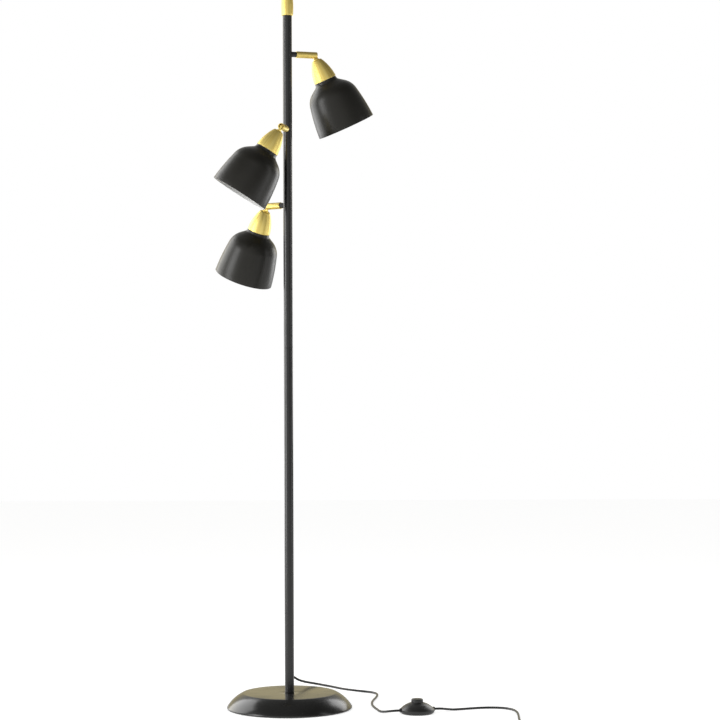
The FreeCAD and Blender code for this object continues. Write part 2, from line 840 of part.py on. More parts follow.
def make_bulb(label):
    tip = "bulb_globe_depth + bulb_globe_radius"
    inner_globe = "bulb_globe_radius - bulb_wall"
    inner_neck = "bulb_neck_radius - bulb_wall"
    shoulder = "bulb_globe_depth - sqrt(bulb_globe_radius ^ 2 - bulb_neck_radius ^ 2)"
    inner_shoulder = f"bulb_globe_depth - sqrt(({inner_globe}) ^ 2 - ({inner_neck}) ^ 2)"
    glass_start = "bulb_base_depth - bulb_overlap"
    cup_floor = "bulb_tip_depth + bulb_cone_height + bulb_wall"
    glass = spun(f"{label}_glass", [
        (inner_neck, glass_start),
        ("bulb_neck_radius", glass_start),
        ("bulb_neck_radius", shoulder, "bulb_globe_radius", "left"),
        ("bulb_globe_radius", "bulb_globe_depth", "bulb_globe_radius", "left"),
        ("0", tip),
        ("0", f"{tip} - bulb_wall", inner_globe, "right"),
        (inner_globe, "bulb_globe_depth", inner_globe, "right"),
        (inner_neck, inner_shoulder),
    ])
    base = spun(f"{label}_base", [
        ("0", "bulb_tip_depth"),
        ("bulb_thread_radius / 3", "bulb_tip_depth"),
        ("bulb_thread_radius", "bulb_tip_depth + bulb_cone_height"),
        ("bulb_thread_radius", "bulb_base_depth"),
        ("bulb_neck_radius + fit_gap", "bulb_base_depth"),
        ("bulb_neck_radius + fit_gap", cup_floor),
        ("0", cup_floor),
    ])
    return compound(label, [glass, base])


def make_head(arm):
    """Everything that tilts on one pivot pin."""
    number = arm + 1
    pieces = [
        make_knuckle(f"knuckle_{number}"),
        make_cap(f"cap_{number}"),
        make_knuckle_nut(f"knuckle_nut_{number}"),
        make_head_wires(f"head_wires_{number}"),
        make_lamp_holder(f"lamp_holder_{number}"),
        make_shade_ring(f"shade_ring_{number}"),
        make_shade(f"shade_{number}"),
        make_bulb(f"bulb_{number}"),
    ]
    pivot = Vector(0, 0, size(arm_height(arm))) + outward(arm) * size("pivot_reach")
    swivel = Rotation(Vector(1, 0, 0), size(heads[arm]["swivel"]))
    tilt = Rotation(sideways, -size(heads[arm]["tilt"]))
    upside_down = Rotation(Vector(1, 0, 0), 180)
    place = Placement(pivot, Rotation(up, azimuth(arm)) * swivel * tilt * upside_down)
    for piece in pieces:
        piece.Placement = place


# Foot switch on the flex, drawn about its own middle with the flex along its X axis


def add_flex_collars(shell, keep_height):
    """Two short half sleeves where the flex enters and leaves, and the hole that it passes through."""
    reach = "switch_radius + collar_length"
    sleeve = {"Radius": "switch_collar_radius", "Height": "collar_length + 2 * switch_wall"}
    primitive(shell, "AdditiveCylinder", sleeve, (f"-1 * ({reach})", "0", "switch_seam"), rightwards)
    start = "switch_radius - 2 * switch_wall"
    primitive(shell, "AdditiveCylinder", sleeve, (start, "0", "switch_seam"), rightwards)
    across = "2 * switch_collar_radius"
    waste = {"Length": f"2 * ({reach})", "Width": f"2 * {across}", "Height": across}
    corner = (f"-1 * ({reach})", f"-1 * {across}", keep_height)
    primitive(shell, "SubtractiveBox", waste, corner)
    hole = {"Radius": "flex_radius + fit_gap", "Height": f"2 * ({reach})"}
    primitive(shell, "SubtractiveCylinder", hole, (f"-1 * ({reach})", "0", "switch_seam"), rightwards)


def repeat_around(body, originals):
    """Repeats features about the body's own Z axis, once for each screw."""
    pattern = body.newObject("PartDesign::PolarPattern", "PolarPattern")
    pattern.Originals = originals
    axis = next(feature for feature in body.Origin.OriginFeatures if feature.Role == "Z_Axis")
    pattern.Axis = (axis, [""])
    pattern.Angle = full_turn
    pattern.Occurrences = screw_count
    body.Tip = pattern


def make_switch():
    place = Placement(switch_point(0), Rotation(up, size("switch_turn")))
    place.Base.z = 0
    head_seat = "screw_recess + screw_head_height"

    lower = spun("switch_lower", [
        ("0", "0"),
        ("switch_sole_radius", "0", "switch_side_bend", "left"),
        ("switch_radius", "switch_side_height"),
        ("switch_radius", "switch_seam"),
        ("0", "switch_seam"),
    ])
    hollow(lower, "switch_wall", "switch_seam")
    add_flex_collars(lower, "switch_seam")
    pillar = {"Radius": "screw_head_radius + switch_wall", "Height": "switch_seam"}
    recess = {"Radius": "screw_head_radius + fit_gap", "Height": head_seat}
    shank_hole = {"Radius": "screw_shank_radius + fit_gap", "Height": "switch_seam"}
    spot = ("0", "screw_ring_radius", "0")
    repeat_around(lower, [
        primitive(lower, "AdditiveCylinder", pillar, spot),
        primitive(lower, "SubtractiveCylinder", recess, spot),
        primitive(lower, "SubtractiveCylinder", shank_hole, spot),
    ])

    upper = spun("switch_upper", [
        ("0", "switch_seam"),
        ("switch_radius", "switch_seam"),
        ("switch_radius", "switch_dome_start", "switch_dome_bend", "left"),
        ("switch_crown_radius", "switch_crown_height"),
        ("0", "switch_crown_height"),
    ])
    hollow(upper, "switch_wall", "switch_seam")
    mouth = {"Radius": "button_radius + button_gap", "Height": "switch_crown_height"}
    primitive(upper, "SubtractiveCylinder", mouth, ("0", "0", "switch_seam"))
    add_flex_collars(upper, "switch_seam - 2 * switch_collar_radius")
    boss_length = "screw_boss_height - switch_seam"
    pillar = {"Radius": "screw_boss_radius", "Height": boss_length}
    pilot = {"Radius": "screw_shank_radius + fit_gap / 2", "Height": f"{boss_length} - screw_recess"}
    spot = ("0", "screw_ring_radius", "switch_seam")
    repeat_around(upper, [
        primitive(upper, "AdditiveCylinder", pillar, spot),
        primitive(upper, "SubtractiveCylinder", pilot, spot),
    ])

    screws = []
    for index in range(screw_count):
        screw = spun(f"switch_screw_{index + 1}", [
            ("0", "screw_recess"),
            ("screw_head_radius", "screw_recess"),
            ("screw_head_radius", head_seat),
            ("screw_shank_radius", head_seat),
            ("screw_shank_radius", f"{head_seat} + screw_length"),
            ("0", f"{head_seat} + screw_length"),
        ])
        spoke = Rotation(up, index * full_turn / screw_count)
        spread = Placement(spoke.multVec(Vector(0, size("screw_ring_radius"), 0)), Rotation())
        screw.Placement = place.multiply(spread)
        screws.append(screw)
    compound("switch_screws", screws)

    inner = "button_radius - button_wall"
    flange_top = "switch_crown_height - switch_wall - button_stop_gap"
    flange_bottom = f"{flange_top} - button_flange_thickness"
    button = spun("switch_button", [
        ("0", "button_top - button_wall"),
        (inner, "button_top - button_wall"),
        (inner, "button_skirt_height"),
        ("button_radius", "button_skirt_height"),
        ("button_radius", flange_bottom),
        ("button_flange_radius", flange_bottom),
        ("button_flange_radius", flange_top),
        ("button_radius", flange_top),
        ("button_radius", "button_top - button_edge", "button_edge", "left"),
        ("button_radius - button_edge", "button_top"),
        ("0", "button_top"),
    ])
    spring = make_switch_spring()
    for piece in (lower, upper, button, spring):
        piece.Placement = place


def make_switch_spring():
    """The return spring, from the lower shell's floor to the underside of the button."""
    wire = size("spring_wire_radius")
    radius = size("spring_radius")
    seat = wire + size("fit_gap")
    bottom = size("switch_wall") + seat
    top = size("button_top - button_wall") - seat
    turns = size("spring_turns")
    climb = (top - bottom) / (2 * math.pi * turns)

    def place(angle):
        point = Vector(radius * math.cos(angle), radius * math.sin(angle), bottom + climb * angle)
        way = Vector(-radius * math.sin(angle), radius * math.cos(angle), climb)
        return point, way.normalize()

    return swept("switch_spring", winding_path(place, turns, 4), wire)


# Flex on the floor


def switch_point(reach):
    """A point on the flex's line through the switch, at this distance from the switch's middle."""
    turn = math.radians(size("switch_turn"))
    across = size("switch_across") + reach * math.cos(turn)
    back = reach * math.sin(turn) - size("switch_forward")
    return Vector(across, back, size("switch_seam"))


def coil_place(angle):
    """A point of the coil and the way it runs there: clockwise and inwards, then up and outwards again."""
    pitch = size("coil_pitch") / (2 * math.pi)
    reversal = math.pi * size("coil_turns")
    softness = size("coil_softness")
    past = angle - reversal
    swing = math.sqrt(past ** 2 + softness ** 2)
    full_swing = math.sqrt(reversal ** 2 + softness ** 2)
    radius = size("coil_outer_radius") - pitch * (full_swing - swing)
    growth = pitch * past / swing
    climb = min(max(past / math.pi + 0.5, 0), 1)
    layer = size("coil_layer_pitch")
    height = size("coil_height") + layer * climb ** 2 * (3 - 2 * climb)
    rise = layer * 6 * climb * (1 - climb) / math.pi
    across = math.cos(angle)
    back = -math.sin(angle)
    point = Vector(size("coil_across") + radius * across, radius * back - size("coil_forward"), height)
    way = Vector(growth * across + radius * back, growth * back - radius * across, rise)
    return point, way.normalize()


def report_radii(label, radii):
    print(f"{label}: bend radii " + ", ".join(f"{radius:.0f}" for radius in radii))


def free_flex(label, points):
    edges, radii = rounded_path(points)
    report_radii(label, radii)
    swept(label, edges, size("flex_radius"))


def make_flex():
    radius = size("flex_radius")
    switch_reach = size("switch_radius + collar_length")
    coil_start, coil_in = coil_place(0)
    coil_end, coil_out = coil_place(2 * math.pi * size("coil_turns"))
    plug_tail = Vector(size("plug_across + plug_neck_length"), -size("plug_forward"), size("plug_height"))
    lead = size("flex_lead")

    to_switch = [Vector(0, size("boot_reach"), size("exit_height"))]
    to_switch += [Vector(*point) for point in (
        (0, 42, 66.5),
        (2.9, 53.5, 64),
        (8.8, 63.5, 58.5),
        (17.2, 73, 51.8),
        (28.8, 84.5, 46.2),
        (42.4, 98, 41.5),
        (57, 111.5, 37),
        (73, 127, 31.5),
        (89, 147, 25.5),
        (104, 171, 18.5),
        (119, 196, 11.8),
        (133, 213, 7.4),
        (150, 221, 4),
        (168, 219, 2.6),
        (183, 207, 2.6),
        (192, 189, 2.6),
        (193.5, 165, 2.6),
        (190, 131, 2.6),
        (183, 91, 2.6),
        (179.5, 50, 2.6),
        (182, 11, 2.6),
        (188, -20, 2.6),
        (193, -42, 2.6),
        (196.5, -59.5, 2.8),
        (203, -74, 4),
        (213.5, -83.5, 6.2),
    )]
    to_switch += [switch_point(-switch_reach - lead), switch_point(-switch_reach)]
    free_flex("cord_to_switch", to_switch)

    from_switch = [switch_point(switch_reach), switch_point(switch_reach + lead)]
    from_switch += [Vector(*point) for point in (
        (341, -49.5, 5.4),
        (356, -41.5, 2.9),
        (376, -32.5, 2.6),
        (400, -21.5, 2.6),
        (427, -14, 2.6),
        (453, -14.5, 2.6),
        (473, -24, 2.6),
        (485.5, -42, 2.6),
        (491, -66, 2.6),
        (492.5, -98, 2.6),
        (491, -135, 2.6),
        (489.5, -173, 2.7),
        (488.6, -209, 3.2),
    )]
    from_switch += [coil_start - coil_in * 2 * lead, coil_start]
    free_flex("cord_from_switch", from_switch)

    coil_edges = winding_path(coil_place, size("coil_turns"), 4)
    swept("cord_coil", coil_edges, radius)
    print(f"cord_coil: least gap to itself {least_self_gap(coil_edges, 2 * radius):.2f}")

    leaving = coil_end + coil_out * lead * 0.8
    arriving = plug_tail + Vector(lead * 0.9, 0, 0)
    free_flex("cord_to_plug", [coil_end, leaving, arriving, plug_tail])


def make_coil_tie():
    """A flat band round the whole bundle of turns, drawn in a plane through the coil's middle."""
    reach = size("coil_outer_radius")
    middle_turn = size("coil_outer_radius") - size("coil_pitch") * size("coil_turns") / 2
    inner_low = size("coil_height - flex_radius - tie_gap")
    inner_high = size("coil_height + coil_layer_pitch + flex_radius + tie_gap")
    loose = size("flex_radius + tie_gap")
    thickness = size("tie_thickness")
    width = size("tie_width")

    def slab(margin):
        left = middle_turn - loose - margin
        bottom = inner_low - margin
        length = reach - middle_turn + 2 * (loose + margin)
        height = inner_high - inner_low + 2 * margin
        box = Part.makeBox(length, width, height, Vector(left, -width / 2, bottom))
        edges = [edge for edge in box.Edges if abs(edge.tangentAt(edge.FirstParameter).y) > 0.9]
        return box.makeFillet(loose / 2 + margin, edges)

    tie = feature("coil_tie", slab(thickness).cut(slab(0)))
    middle = Vector(size("coil_across"), -size("coil_forward"), 0)
    tie.Placement = Placement(middle, Rotation(up, size("tie_angle")))


# Plug, drawn with its own Z axis pointing to the pins and its Y axis up


def plug_section(body, width, thickness, height):
    """One rounded rectangle of the plug's body, at this height along it."""
    sketch = new_sketch(body, "XY_Plane")
    sketch.AttachmentOffset = Placement(Vector(0, 0, size(height)), Rotation())
    sketch.setExpression("AttachmentOffset.Base.z", bound(height))
    half = f"({width}) / 2"
    flat = f"({width}) / 2 - plug_edge"
    side = f"({thickness}) / 2"
    upright = f"({thickness}) / 2 - plug_edge"
    bend = "plug_edge"
    draw_outline(sketch, [
        (f"-1 * ({flat})", f"-1 * ({side})"),
        (flat, f"-1 * ({side})", bend, "left"),
        (half, f"-1 * ({upright})"),
        (half, upright, bend, "left"),
        (flat, side),
        (f"-1 * ({flat})", side, bend, "left"),
        (f"-1 * ({half})", upright),
        (f"-1 * ({half})", f"-1 * ({upright})", bend, "left"),
    ])
    return sketch


def make_plug():
    heading = Rotation(Vector(0, -1, 0), Vector(0, 0, 1), Vector(-1, 0, 0), "ZXY")
    middle = Vector(size("plug_across"), -size("plug_forward"), size("plug_height"))
    place = Placement(middle, heading)

    body = new_body("plug_body")
    back = plug_section(body, "plug_back_width", "plug_back_thickness", "0")
    waist = plug_section(body, "plug_face_width", "plug_thickness", "plug_waist")
    face = plug_section(body, "plug_face_width", "plug_thickness", "plug_length")
    loft = body.newObject("PartDesign::AdditiveLoft", "Loft")
    loft.Profile = back
    loft.Sections = [waist, face]
    loft.Ruled = True
    neck = {"Radius1": "boot_tip_radius", "Radius2": "plug_neck_radius", "Height": "plug_neck_length"}
    primitive(body, "AdditiveCone", neck, ("0", "0", "-1 * plug_neck_length"))
    pin_hole = {"Radius": "pin_radius + fit_gap", "Height": "pin_root"}
    for side in (-0.5, 0.5):
        spot = (f"{side} * pin_spacing", "0", "plug_length - pin_root")
        primitive(body, "SubtractiveCylinder", pin_hole, spot)
    body.Placement = place

    pins = []
    for side, name in ((-0.5, "left"), (0.5, "right")):
        pin = spun(f"plug_pin_{name}", [
            ("0", "plug_length - pin_root"),
            ("pin_radius", "plug_length - pin_root"),
            ("pin_radius", "plug_length + pin_length - pin_radius / 2"),
            ("pin_radius / 2", "plug_length + pin_length"),
            ("0", "plug_length + pin_length"),
        ])
        spread = Placement(Vector(side * size("pin_spacing"), 0, 0), Rotation())
        pin.Placement = place.multiply(spread)
        pins.append(pin)
    compound("plug_pins", pins)


# Assembly

up = Vector(0, 0, 1)
sideways = Vector(0, 1, 0)
backwards = Rotation(Vector(1, 0, 0), -90)
rightwards = Rotation(sideways, 90)
lie_down = Rotation(Vector(1, 0, 1), 180)
heads = [
    {"swivel": "0", "tilt": "tilt_of_head_one"},
    {"swivel": "swivel_of_head_two", "tilt": "tilt_of_head_two"},
    {"swivel": "0", "tilt": "tilt_of_head_three"},
]


def azimuth(arm):
    """The way an arm points, in degrees from +X, counterclockwise."""
    return size(f"first_arm_azimuth - {arm} * arm_azimuth_step")


def outward(arm):
    return Rotation(up, azimuth(arm)).multVec(Vector(1, 0, 0))


def arm_height(arm):
    return f"total_height - top_arm_drop - {arm} * arm_spacing"


def export(node):
    shape = node.Shape
    if shape.isNull() or not shape.isValid() or not shape.Solids:
        raise RuntimeError(f"{node.Label} has no valid solid")
    shape.exportStep(f"parts/{node.Label}.step")


make_base()
make_pole()
make_cord_boot()
make_pole_wiring()
swivel_pieces = [make_arm(arm) for arm in range(arm_count)]
compound("swivel_washers", [washer for washer, nut in swivel_pieces])
compound("swivel_nuts", [nut for washer, nut in swivel_pieces])
for arm in range(arm_count):
    make_head(arm)
make_switch()
make_flex()
make_coil_tie()
make_plug()

doc.recompute()
for item in doc.Objects:
    if "Invalid" in item.State or "Error" in item.State:
        raise RuntimeError(f"{item.Label} did not come out: {item.State}")
os.makedirs("parts", exist_ok=True)
for node in nodes:
    export(node)
print(f"{len(nodes)} nodes")
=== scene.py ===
import json
from math import asin, atan2, ceil, cos, pi, radians, sin, sqrt
import bmesh
import bpy
from mathutils import Matrix, Vector

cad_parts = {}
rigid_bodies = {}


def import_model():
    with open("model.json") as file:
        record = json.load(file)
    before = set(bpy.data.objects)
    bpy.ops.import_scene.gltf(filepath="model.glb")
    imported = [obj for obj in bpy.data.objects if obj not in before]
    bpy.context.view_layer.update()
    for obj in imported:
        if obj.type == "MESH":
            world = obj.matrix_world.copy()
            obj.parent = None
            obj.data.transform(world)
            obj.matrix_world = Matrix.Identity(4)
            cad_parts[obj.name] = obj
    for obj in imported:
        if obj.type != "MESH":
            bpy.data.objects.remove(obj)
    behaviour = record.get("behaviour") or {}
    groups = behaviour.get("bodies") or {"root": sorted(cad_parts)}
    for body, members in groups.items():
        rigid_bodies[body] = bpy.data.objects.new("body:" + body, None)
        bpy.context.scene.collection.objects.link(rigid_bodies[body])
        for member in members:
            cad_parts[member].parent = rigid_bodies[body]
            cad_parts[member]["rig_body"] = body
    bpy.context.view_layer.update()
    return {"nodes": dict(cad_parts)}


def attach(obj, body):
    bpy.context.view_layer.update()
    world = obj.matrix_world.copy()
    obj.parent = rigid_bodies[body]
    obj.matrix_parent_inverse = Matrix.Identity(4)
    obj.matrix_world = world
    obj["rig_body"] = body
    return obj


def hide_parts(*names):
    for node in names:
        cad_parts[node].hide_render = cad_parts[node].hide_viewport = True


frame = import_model()
nodes = frame["nodes"]
print("frame loaded,", len(nodes), "nodes")


# Camera

camera = {
    "place": (0.1565, -4.717, 0.761),
    "lens": 107.9,
    "sensor": 36.0,
    "lean": -0.20,  # degrees: the photograph was taken very slightly askew
}


def makeCamera():
    data = bpy.data.cameras.new("camera")
    data.lens = camera["lens"]
    data.sensor_width = camera["sensor"]
    data.clip_end = 60
    eye = bpy.data.objects.new("camera", data)
    bpy.context.scene.collection.objects.link(eye)
    level = Matrix.Rotation(radians(90), 4, "X")
    lean = Matrix.Rotation(radians(camera["lean"]), 4, "Z")
    eye.matrix_world = Matrix.Translation(camera["place"]) @ level @ lean
    bpy.context.scene.camera = eye
    bpy.context.scene.view_settings.view_transform = "Standard"


makeCamera()
print("camera placed")


# Helpers for shader and geometry nodes

def fill(tree, socket, value):
    if isinstance(value, bpy.types.NodeSocket):
        tree.links.new(value, socket)
    elif value is not None:
        socket.default_value = value


def addNode(tree, kind, values=None, **settings):
    node = tree.nodes.new(kind)
    for name, value in settings.items():
        setattr(node, name, value)
    for name, value in (values or {}).items():
        fill(tree, node.inputs[name], value)
    return node


def addMath(tree, operation, first, second=None):
    node = addNode(tree, "ShaderNodeMath", operation=operation)
    fill(tree, node.inputs[0], first)
    fill(tree, node.inputs[1], second)
    return node.outputs[0]


def addVectorMath(tree, operation, first, second=None):
    node = addNode(tree, "ShaderNodeVectorMath", operation=operation)
    fill(tree, node.inputs[0], first)
    fill(tree, node.inputs[1], second)
    return node.outputs[0]


def addMix(tree, factor, first, second):
    node = addNode(tree, "ShaderNodeMix", data_type="RGBA")
    fill(tree, node.inputs[0], factor)
    fill(tree, node.inputs[6], first)
    fill(tree, node.inputs[7], second)
    return node.outputs[2]


def addRange(tree, value, fromLow, fromHigh, toLow, toHigh):
    node = addNode(tree, "ShaderNodeMapRange", interpolation_type="SMOOTHSTEP")
    for name, number in zip(("Value", "From Min", "From Max", "To Min", "To Max"),
                            (value, fromLow, fromHigh, toLow, toHigh)):
        fill(tree, node.inputs[name], number)
    return node.outputs[0]


def addNoise(tree, place, scale, detail=2.0, roughness=0.5):
    return addNode(tree, "ShaderNodeTexNoise", {"Vector": place, "Scale": scale, "Detail": detail,
                                                "Roughness": roughness}).outputs[0]


def newGroup(name, inputs, outputs):
    group = bpy.data.node_groups.new(name, "ShaderNodeTree")
    for label, (kind, value) in inputs.items():
        socket = group.interface.new_socket(name=label, in_out="INPUT", socket_type=kind)
        if value is not None:
            socket.default_value = value
    for label, kind in outputs.items():
        group.interface.new_socket(name=label, in_out="OUTPUT", socket_type=kind)
    entry = group.nodes.new("NodeGroupInput")
    leaving = group.nodes.new("NodeGroupOutput")
    return group, entry.outputs, leaving.inputs


def useGroup(tree, group, values):
    node = tree.nodes.new("ShaderNodeGroup")
    node.node_tree = group
    for name, value in values.items():
        fill(tree, node.inputs[name], value)
    return node.outputs


def newMaterial(name, **values):
    material = bpy.data.materials.new(name)
    material.use_nodes = True
    tree = material.node_tree
    tree.nodes.clear()
    output = addNode(tree, "ShaderNodeOutputMaterial")
    named = {key.replace("_", " "): value for key, value in values.items()}
    shader = addNode(tree, "ShaderNodeBsdfPrincipled", named)
    tree.links.new(shader.outputs[0], output.inputs["Surface"])
    place = addNode(tree, "ShaderNodeTexCoord").outputs["Object"]
    return material, tree, shader.inputs, place


def addBump(tree, height, depth, before=None):
    values = {"Height": height, "Distance": depth, "Normal": before}
    return addNode(tree, "ShaderNodeBump", values).outputs[0]


# Effects that several finishes share

def makeSprayGrain():
    # fine orange peel of a sprayed or powdered coat, and slow drifts over the whole piece
    inputs = {"Place": ("NodeSocketVector", None), "Fineness": ("NodeSocketFloat", 1400.0),
              "Drift": ("NodeSocketFloat", 14.0)}
    outputs = {"Height": "NodeSocketFloat", "Cloud": "NodeSocketFloat"}
    group, entry, leaving = newGroup("sprayGrain", inputs, outputs)
    peel = addNoise(group, entry["Place"], entry["Fineness"], 3.0, 0.6)
    swell = addNoise(group, entry["Place"], addMath(group, "MULTIPLY", entry["Fineness"], 0.12), 1.0)
    finePart = addMath(group, "MULTIPLY", peel, 0.6)
    slowPart = addMath(group, "MULTIPLY", swell, 0.4)
    group.links.new(addMath(group, "ADD", finePart, slowPart), leaving["Height"])
    group.links.new(addNoise(group, entry["Place"], entry["Drift"], 3.0), leaving["Cloud"])
    return group


def makeBrushing():
    # fine scratches along the piece's own Z axis, the same all round it, with no seam
    inputs = {"Place": ("NodeSocketVector", None), "Fineness": ("NodeSocketFloat", 60.0),
              "Stretch": ("NodeSocketFloat", 26.0)}
    outputs = {"Height": "NodeSocketFloat", "Streak": "NodeSocketFloat"}
    group, entry, leaving = newGroup("brushing", inputs, outputs)
    parts = addNode(group, "ShaderNodeSeparateXYZ", {"Vector": entry["Place"]}).outputs
    flat = addNode(group, "ShaderNodeCombineXYZ", {"X": parts[0], "Y": parts[1]}).outputs[0]
    around = addVectorMath(group, "NORMALIZE", flat)
    spoke = addNode(group, "ShaderNodeVectorMath", {"Scale": entry["Fineness"]}, operation="SCALE")
    group.links.new(around, spoke.inputs[0])
    lift = addMath(group, "MULTIPLY", parts[2], entry["Stretch"])
    along = addNode(group, "ShaderNodeCombineXYZ", {"Z": lift}).outputs[0]
    spot = addVectorMath(group, "ADD", spoke.outputs[0], along)
    group.links.new(addNoise(group, spot, 1.0, 4.0, 0.7), leaving["Height"])
    group.links.new(addNoise(group, spot, 0.16, 3.0, 0.6), leaving["Streak"])
    return group


def makeHandling():
    # faint smudges and settled dust, stronger on faces that look up
    inputs = {"Place": ("NodeSocketVector", None), "Upward": ("NodeSocketFloat", 0.0)}
    outputs = {"Smudge": "NodeSocketFloat", "Dust": "NodeSocketFloat"}
    group, entry, leaving = newGroup("handling", inputs, outputs)
    blotch = addNoise(group, entry["Place"], 22.0, 4.0, 0.6)
    group.links.new(addRange(group, blotch, 0.45, 0.75, 0.0, 1.0), leaving["Smudge"])
    specks = addRange(group, addNoise(group, entry["Place"], 420.0, 2.0), 0.55, 0.8, 0.2, 1.0)
    facing = addRange(group, entry["Upward"], 0.6, 1.0, 0.0, 1.0)
    group.links.new(addMath(group, "MULTIPLY", specks, facing), leaving["Dust"])
    return group


def makeMouldGrain():
    # the fine even texture that a spark-eroded mould leaves on plastic
    inputs = {"Place": ("NodeSocketVector", None), "Fineness": ("NodeSocketFloat", 1800.0)}
    group, entry, leaving = newGroup("mouldGrain", inputs, {"Height": "NodeSocketFloat"})
    cells = addNode(group, "ShaderNodeTexVoronoi", {"Vector": entry["Place"], "Scale": entry["Fineness"]},
                    feature="SMOOTH_F1").outputs[0]
    soft = addNoise(group, entry["Place"], addMath(group, "MULTIPLY", entry["Fineness"], 0.4), 2.0)
    group.links.new(addMath(group, "ADD", cells, soft), leaving["Height"])
    return group


sprayGrain = makeSprayGrain()
brushing = makeBrushing()
handling = makeHandling()
mouldGrain = makeMouldGrain()


# Finishes

paints = {
    "basePaint": {"dark": (0.007, 0.007, 0.006, 1), "pale": (0.010, 0.010, 0.009, 1), "gloss": 0.20,
                  "specular": 0.5},
    "polePaint": {"dark": (0.010, 0.010, 0.010, 1), "pale": (0.015, 0.015, 0.014, 1), "gloss": 0.27,
                  "specular": 0.5},
    "shadePaint": {"dark": (0.008, 0.007, 0.004, 1), "pale": (0.012, 0.011, 0.007, 1), "gloss": 0.36,
                   "specular": 0.36},
    # inner enamel of the lamp shades: really white, greyed here to about 0.7 as painted shade for the dim
    # inside of the shade
    "enamelGreyedAsShade": {"dark": (0.68, 0.68, 0.67, 1), "pale": (0.72, 0.72, 0.71, 1), "gloss": 0.42,
                    "specular": 0.5},
}
brass = {
    "bright": (0.82, 0.67, 0.23, 1),
    "deep": (0.74, 0.56, 0.15, 1),
    "roughness": (0.38, 0.52),
    "scratch": 0.00002,
}
plastics = {
    "switchPlastic": {"color": (0.010, 0.010, 0.009, 1), "gloss": 0.34, "grain": 1500.0},
    "buttonPlastic": {"color": (0.013, 0.013, 0.012, 1), "gloss": 0.40, "grain": 1900.0},
    "blackMoulding": {"color": (0.016, 0.016, 0.016, 1), "gloss": 0.45, "grain": 1700.0},
    "holderPlastic": {"color": (0.80, 0.79, 0.74, 1), "gloss": 0.35, "grain": 1400.0},
    "padFoam": {"color": (0.022, 0.022, 0.022, 1), "gloss": 0.85, "grain": 700.0},
    "coreInsulation": {"color": (0.32, 0.18, 0.08, 1), "gloss": 0.5, "grain": 2200.0},
}
jacket = {
    "color": (0.011, 0.011, 0.011, 1),
    "scuffed": (0.022, 0.022, 0.021, 1),
    "gloss": 0.36,
    "grain": 2600.0,
}
wear = {
    "dust": (0.35, 0.33, 0.28, 1),
    "dustShare": 0.05,
    "glossSwing": 0.03,
    "paintSmudge": 0.04,
    "brassSmudge": 0.06,
    "plasticSmudge": 0.08,
    "flexSmudge": 0.10,
}
# how deep each grain is, in metres
grainDepth = {
    "paint": 0.000012,
    "plastic": 0.00003,
    "metal": 0.00003,
    "flex": 0.00002,
}
metals = {
    "zincPlate": {"dark": (0.50, 0.50, 0.48, 1), "pale": (0.66, 0.66, 0.63, 1), "roughness": (0.28, 0.45)},
    "rawCasting": {"dark": (0.10, 0.10, 0.10, 1), "pale": (0.20, 0.19, 0.18, 1), "roughness": (0.6, 0.8)},
    "pinMetal": {"dark": (0.60, 0.58, 0.52, 1), "pale": (0.78, 0.76, 0.70, 1), "roughness": (0.18, 0.3)},
}


def addSmudge(tree, rough, marks, share):
    return addMath(tree, "ADD", rough, addMath(tree, "MULTIPLY", marks["Smudge"], share))


def makePaint(name):
    look = paints[name]
    material, tree, shader, place = newMaterial(name, Specular_IOR_Level=look["specular"])
    grain = useGroup(tree, sprayGrain, {"Place": place})
    upward = addNode(tree, "ShaderNodeSeparateXYZ",
                     {"Vector": addNode(tree, "ShaderNodeNewGeometry").outputs["Normal"]}).outputs[2]
    marks = useGroup(tree, handling, {"Place": place, "Upward": upward})
    coat = addMix(tree, grain["Cloud"], look["dark"], look["pale"])
    dustLayer = addMath(tree, "MULTIPLY", marks["Dust"], wear["dustShare"])
    fill(tree, shader["Base Color"], addMix(tree, dustLayer, coat, wear["dust"]))
    swing = wear["glossSwing"]
    gloss = addRange(tree, grain["Cloud"], 0.3, 0.7, look["gloss"] - swing, look["gloss"] + swing)
    fill(tree, shader["Roughness"], addSmudge(tree, gloss, marks, wear["paintSmudge"]))
    fill(tree, shader["Normal"], addBump(tree, grain["Height"], grainDepth["paint"]))
    return material


def makeBrass(name, place):
    # place is the piece's own frame, its Z axis the way that it was brushed
    material, tree, shader, spot = newMaterial(name, Metallic=1.0)
    turn = place.to_euler()
    pose = {"Vector": spot, "Location": place.translation, "Rotation": turn}
    mapping = addNode(tree, "ShaderNodeMapping", pose, vector_type="TEXTURE")
    lines = useGroup(tree, brushing, {"Place": mapping.outputs[0]})
    marks = useGroup(tree, handling, {"Place": spot})
    fill(tree, shader["Base Color"], addMix(tree, addRange(tree, lines["Streak"], 0.35, 0.65, 0.0, 1.0),
                                            brass["deep"], brass["bright"]))
    rough = addRange(tree, lines["Streak"], 0.3, 0.7, *brass["roughness"])
    fill(tree, shader["Roughness"], addSmudge(tree, rough, marks, wear["brassSmudge"]))
    fill(tree, shader["Normal"], addBump(tree, lines["Height"], brass["scratch"]))
    return material


def makePlastic(name):
    look = plastics[name]
    material, tree, shader, place = newMaterial(name)
    grain = useGroup(tree, mouldGrain, {"Place": place, "Fineness": look["grain"]})
    marks = useGroup(tree, handling, {"Place": place})
    worn = tuple(min(channel * 1.35 + 0.004, 0.9) for channel in look["color"][:3]) + (1,)
    fill(tree, shader["Base Color"], addMix(tree, marks["Smudge"], look["color"], worn))
    fill(tree, shader["Roughness"], addSmudge(tree, look["gloss"], marks, wear["plasticSmudge"]))
    fill(tree, shader["Normal"], addBump(tree, grain["Height"], grainDepth["plastic"]))
    return material


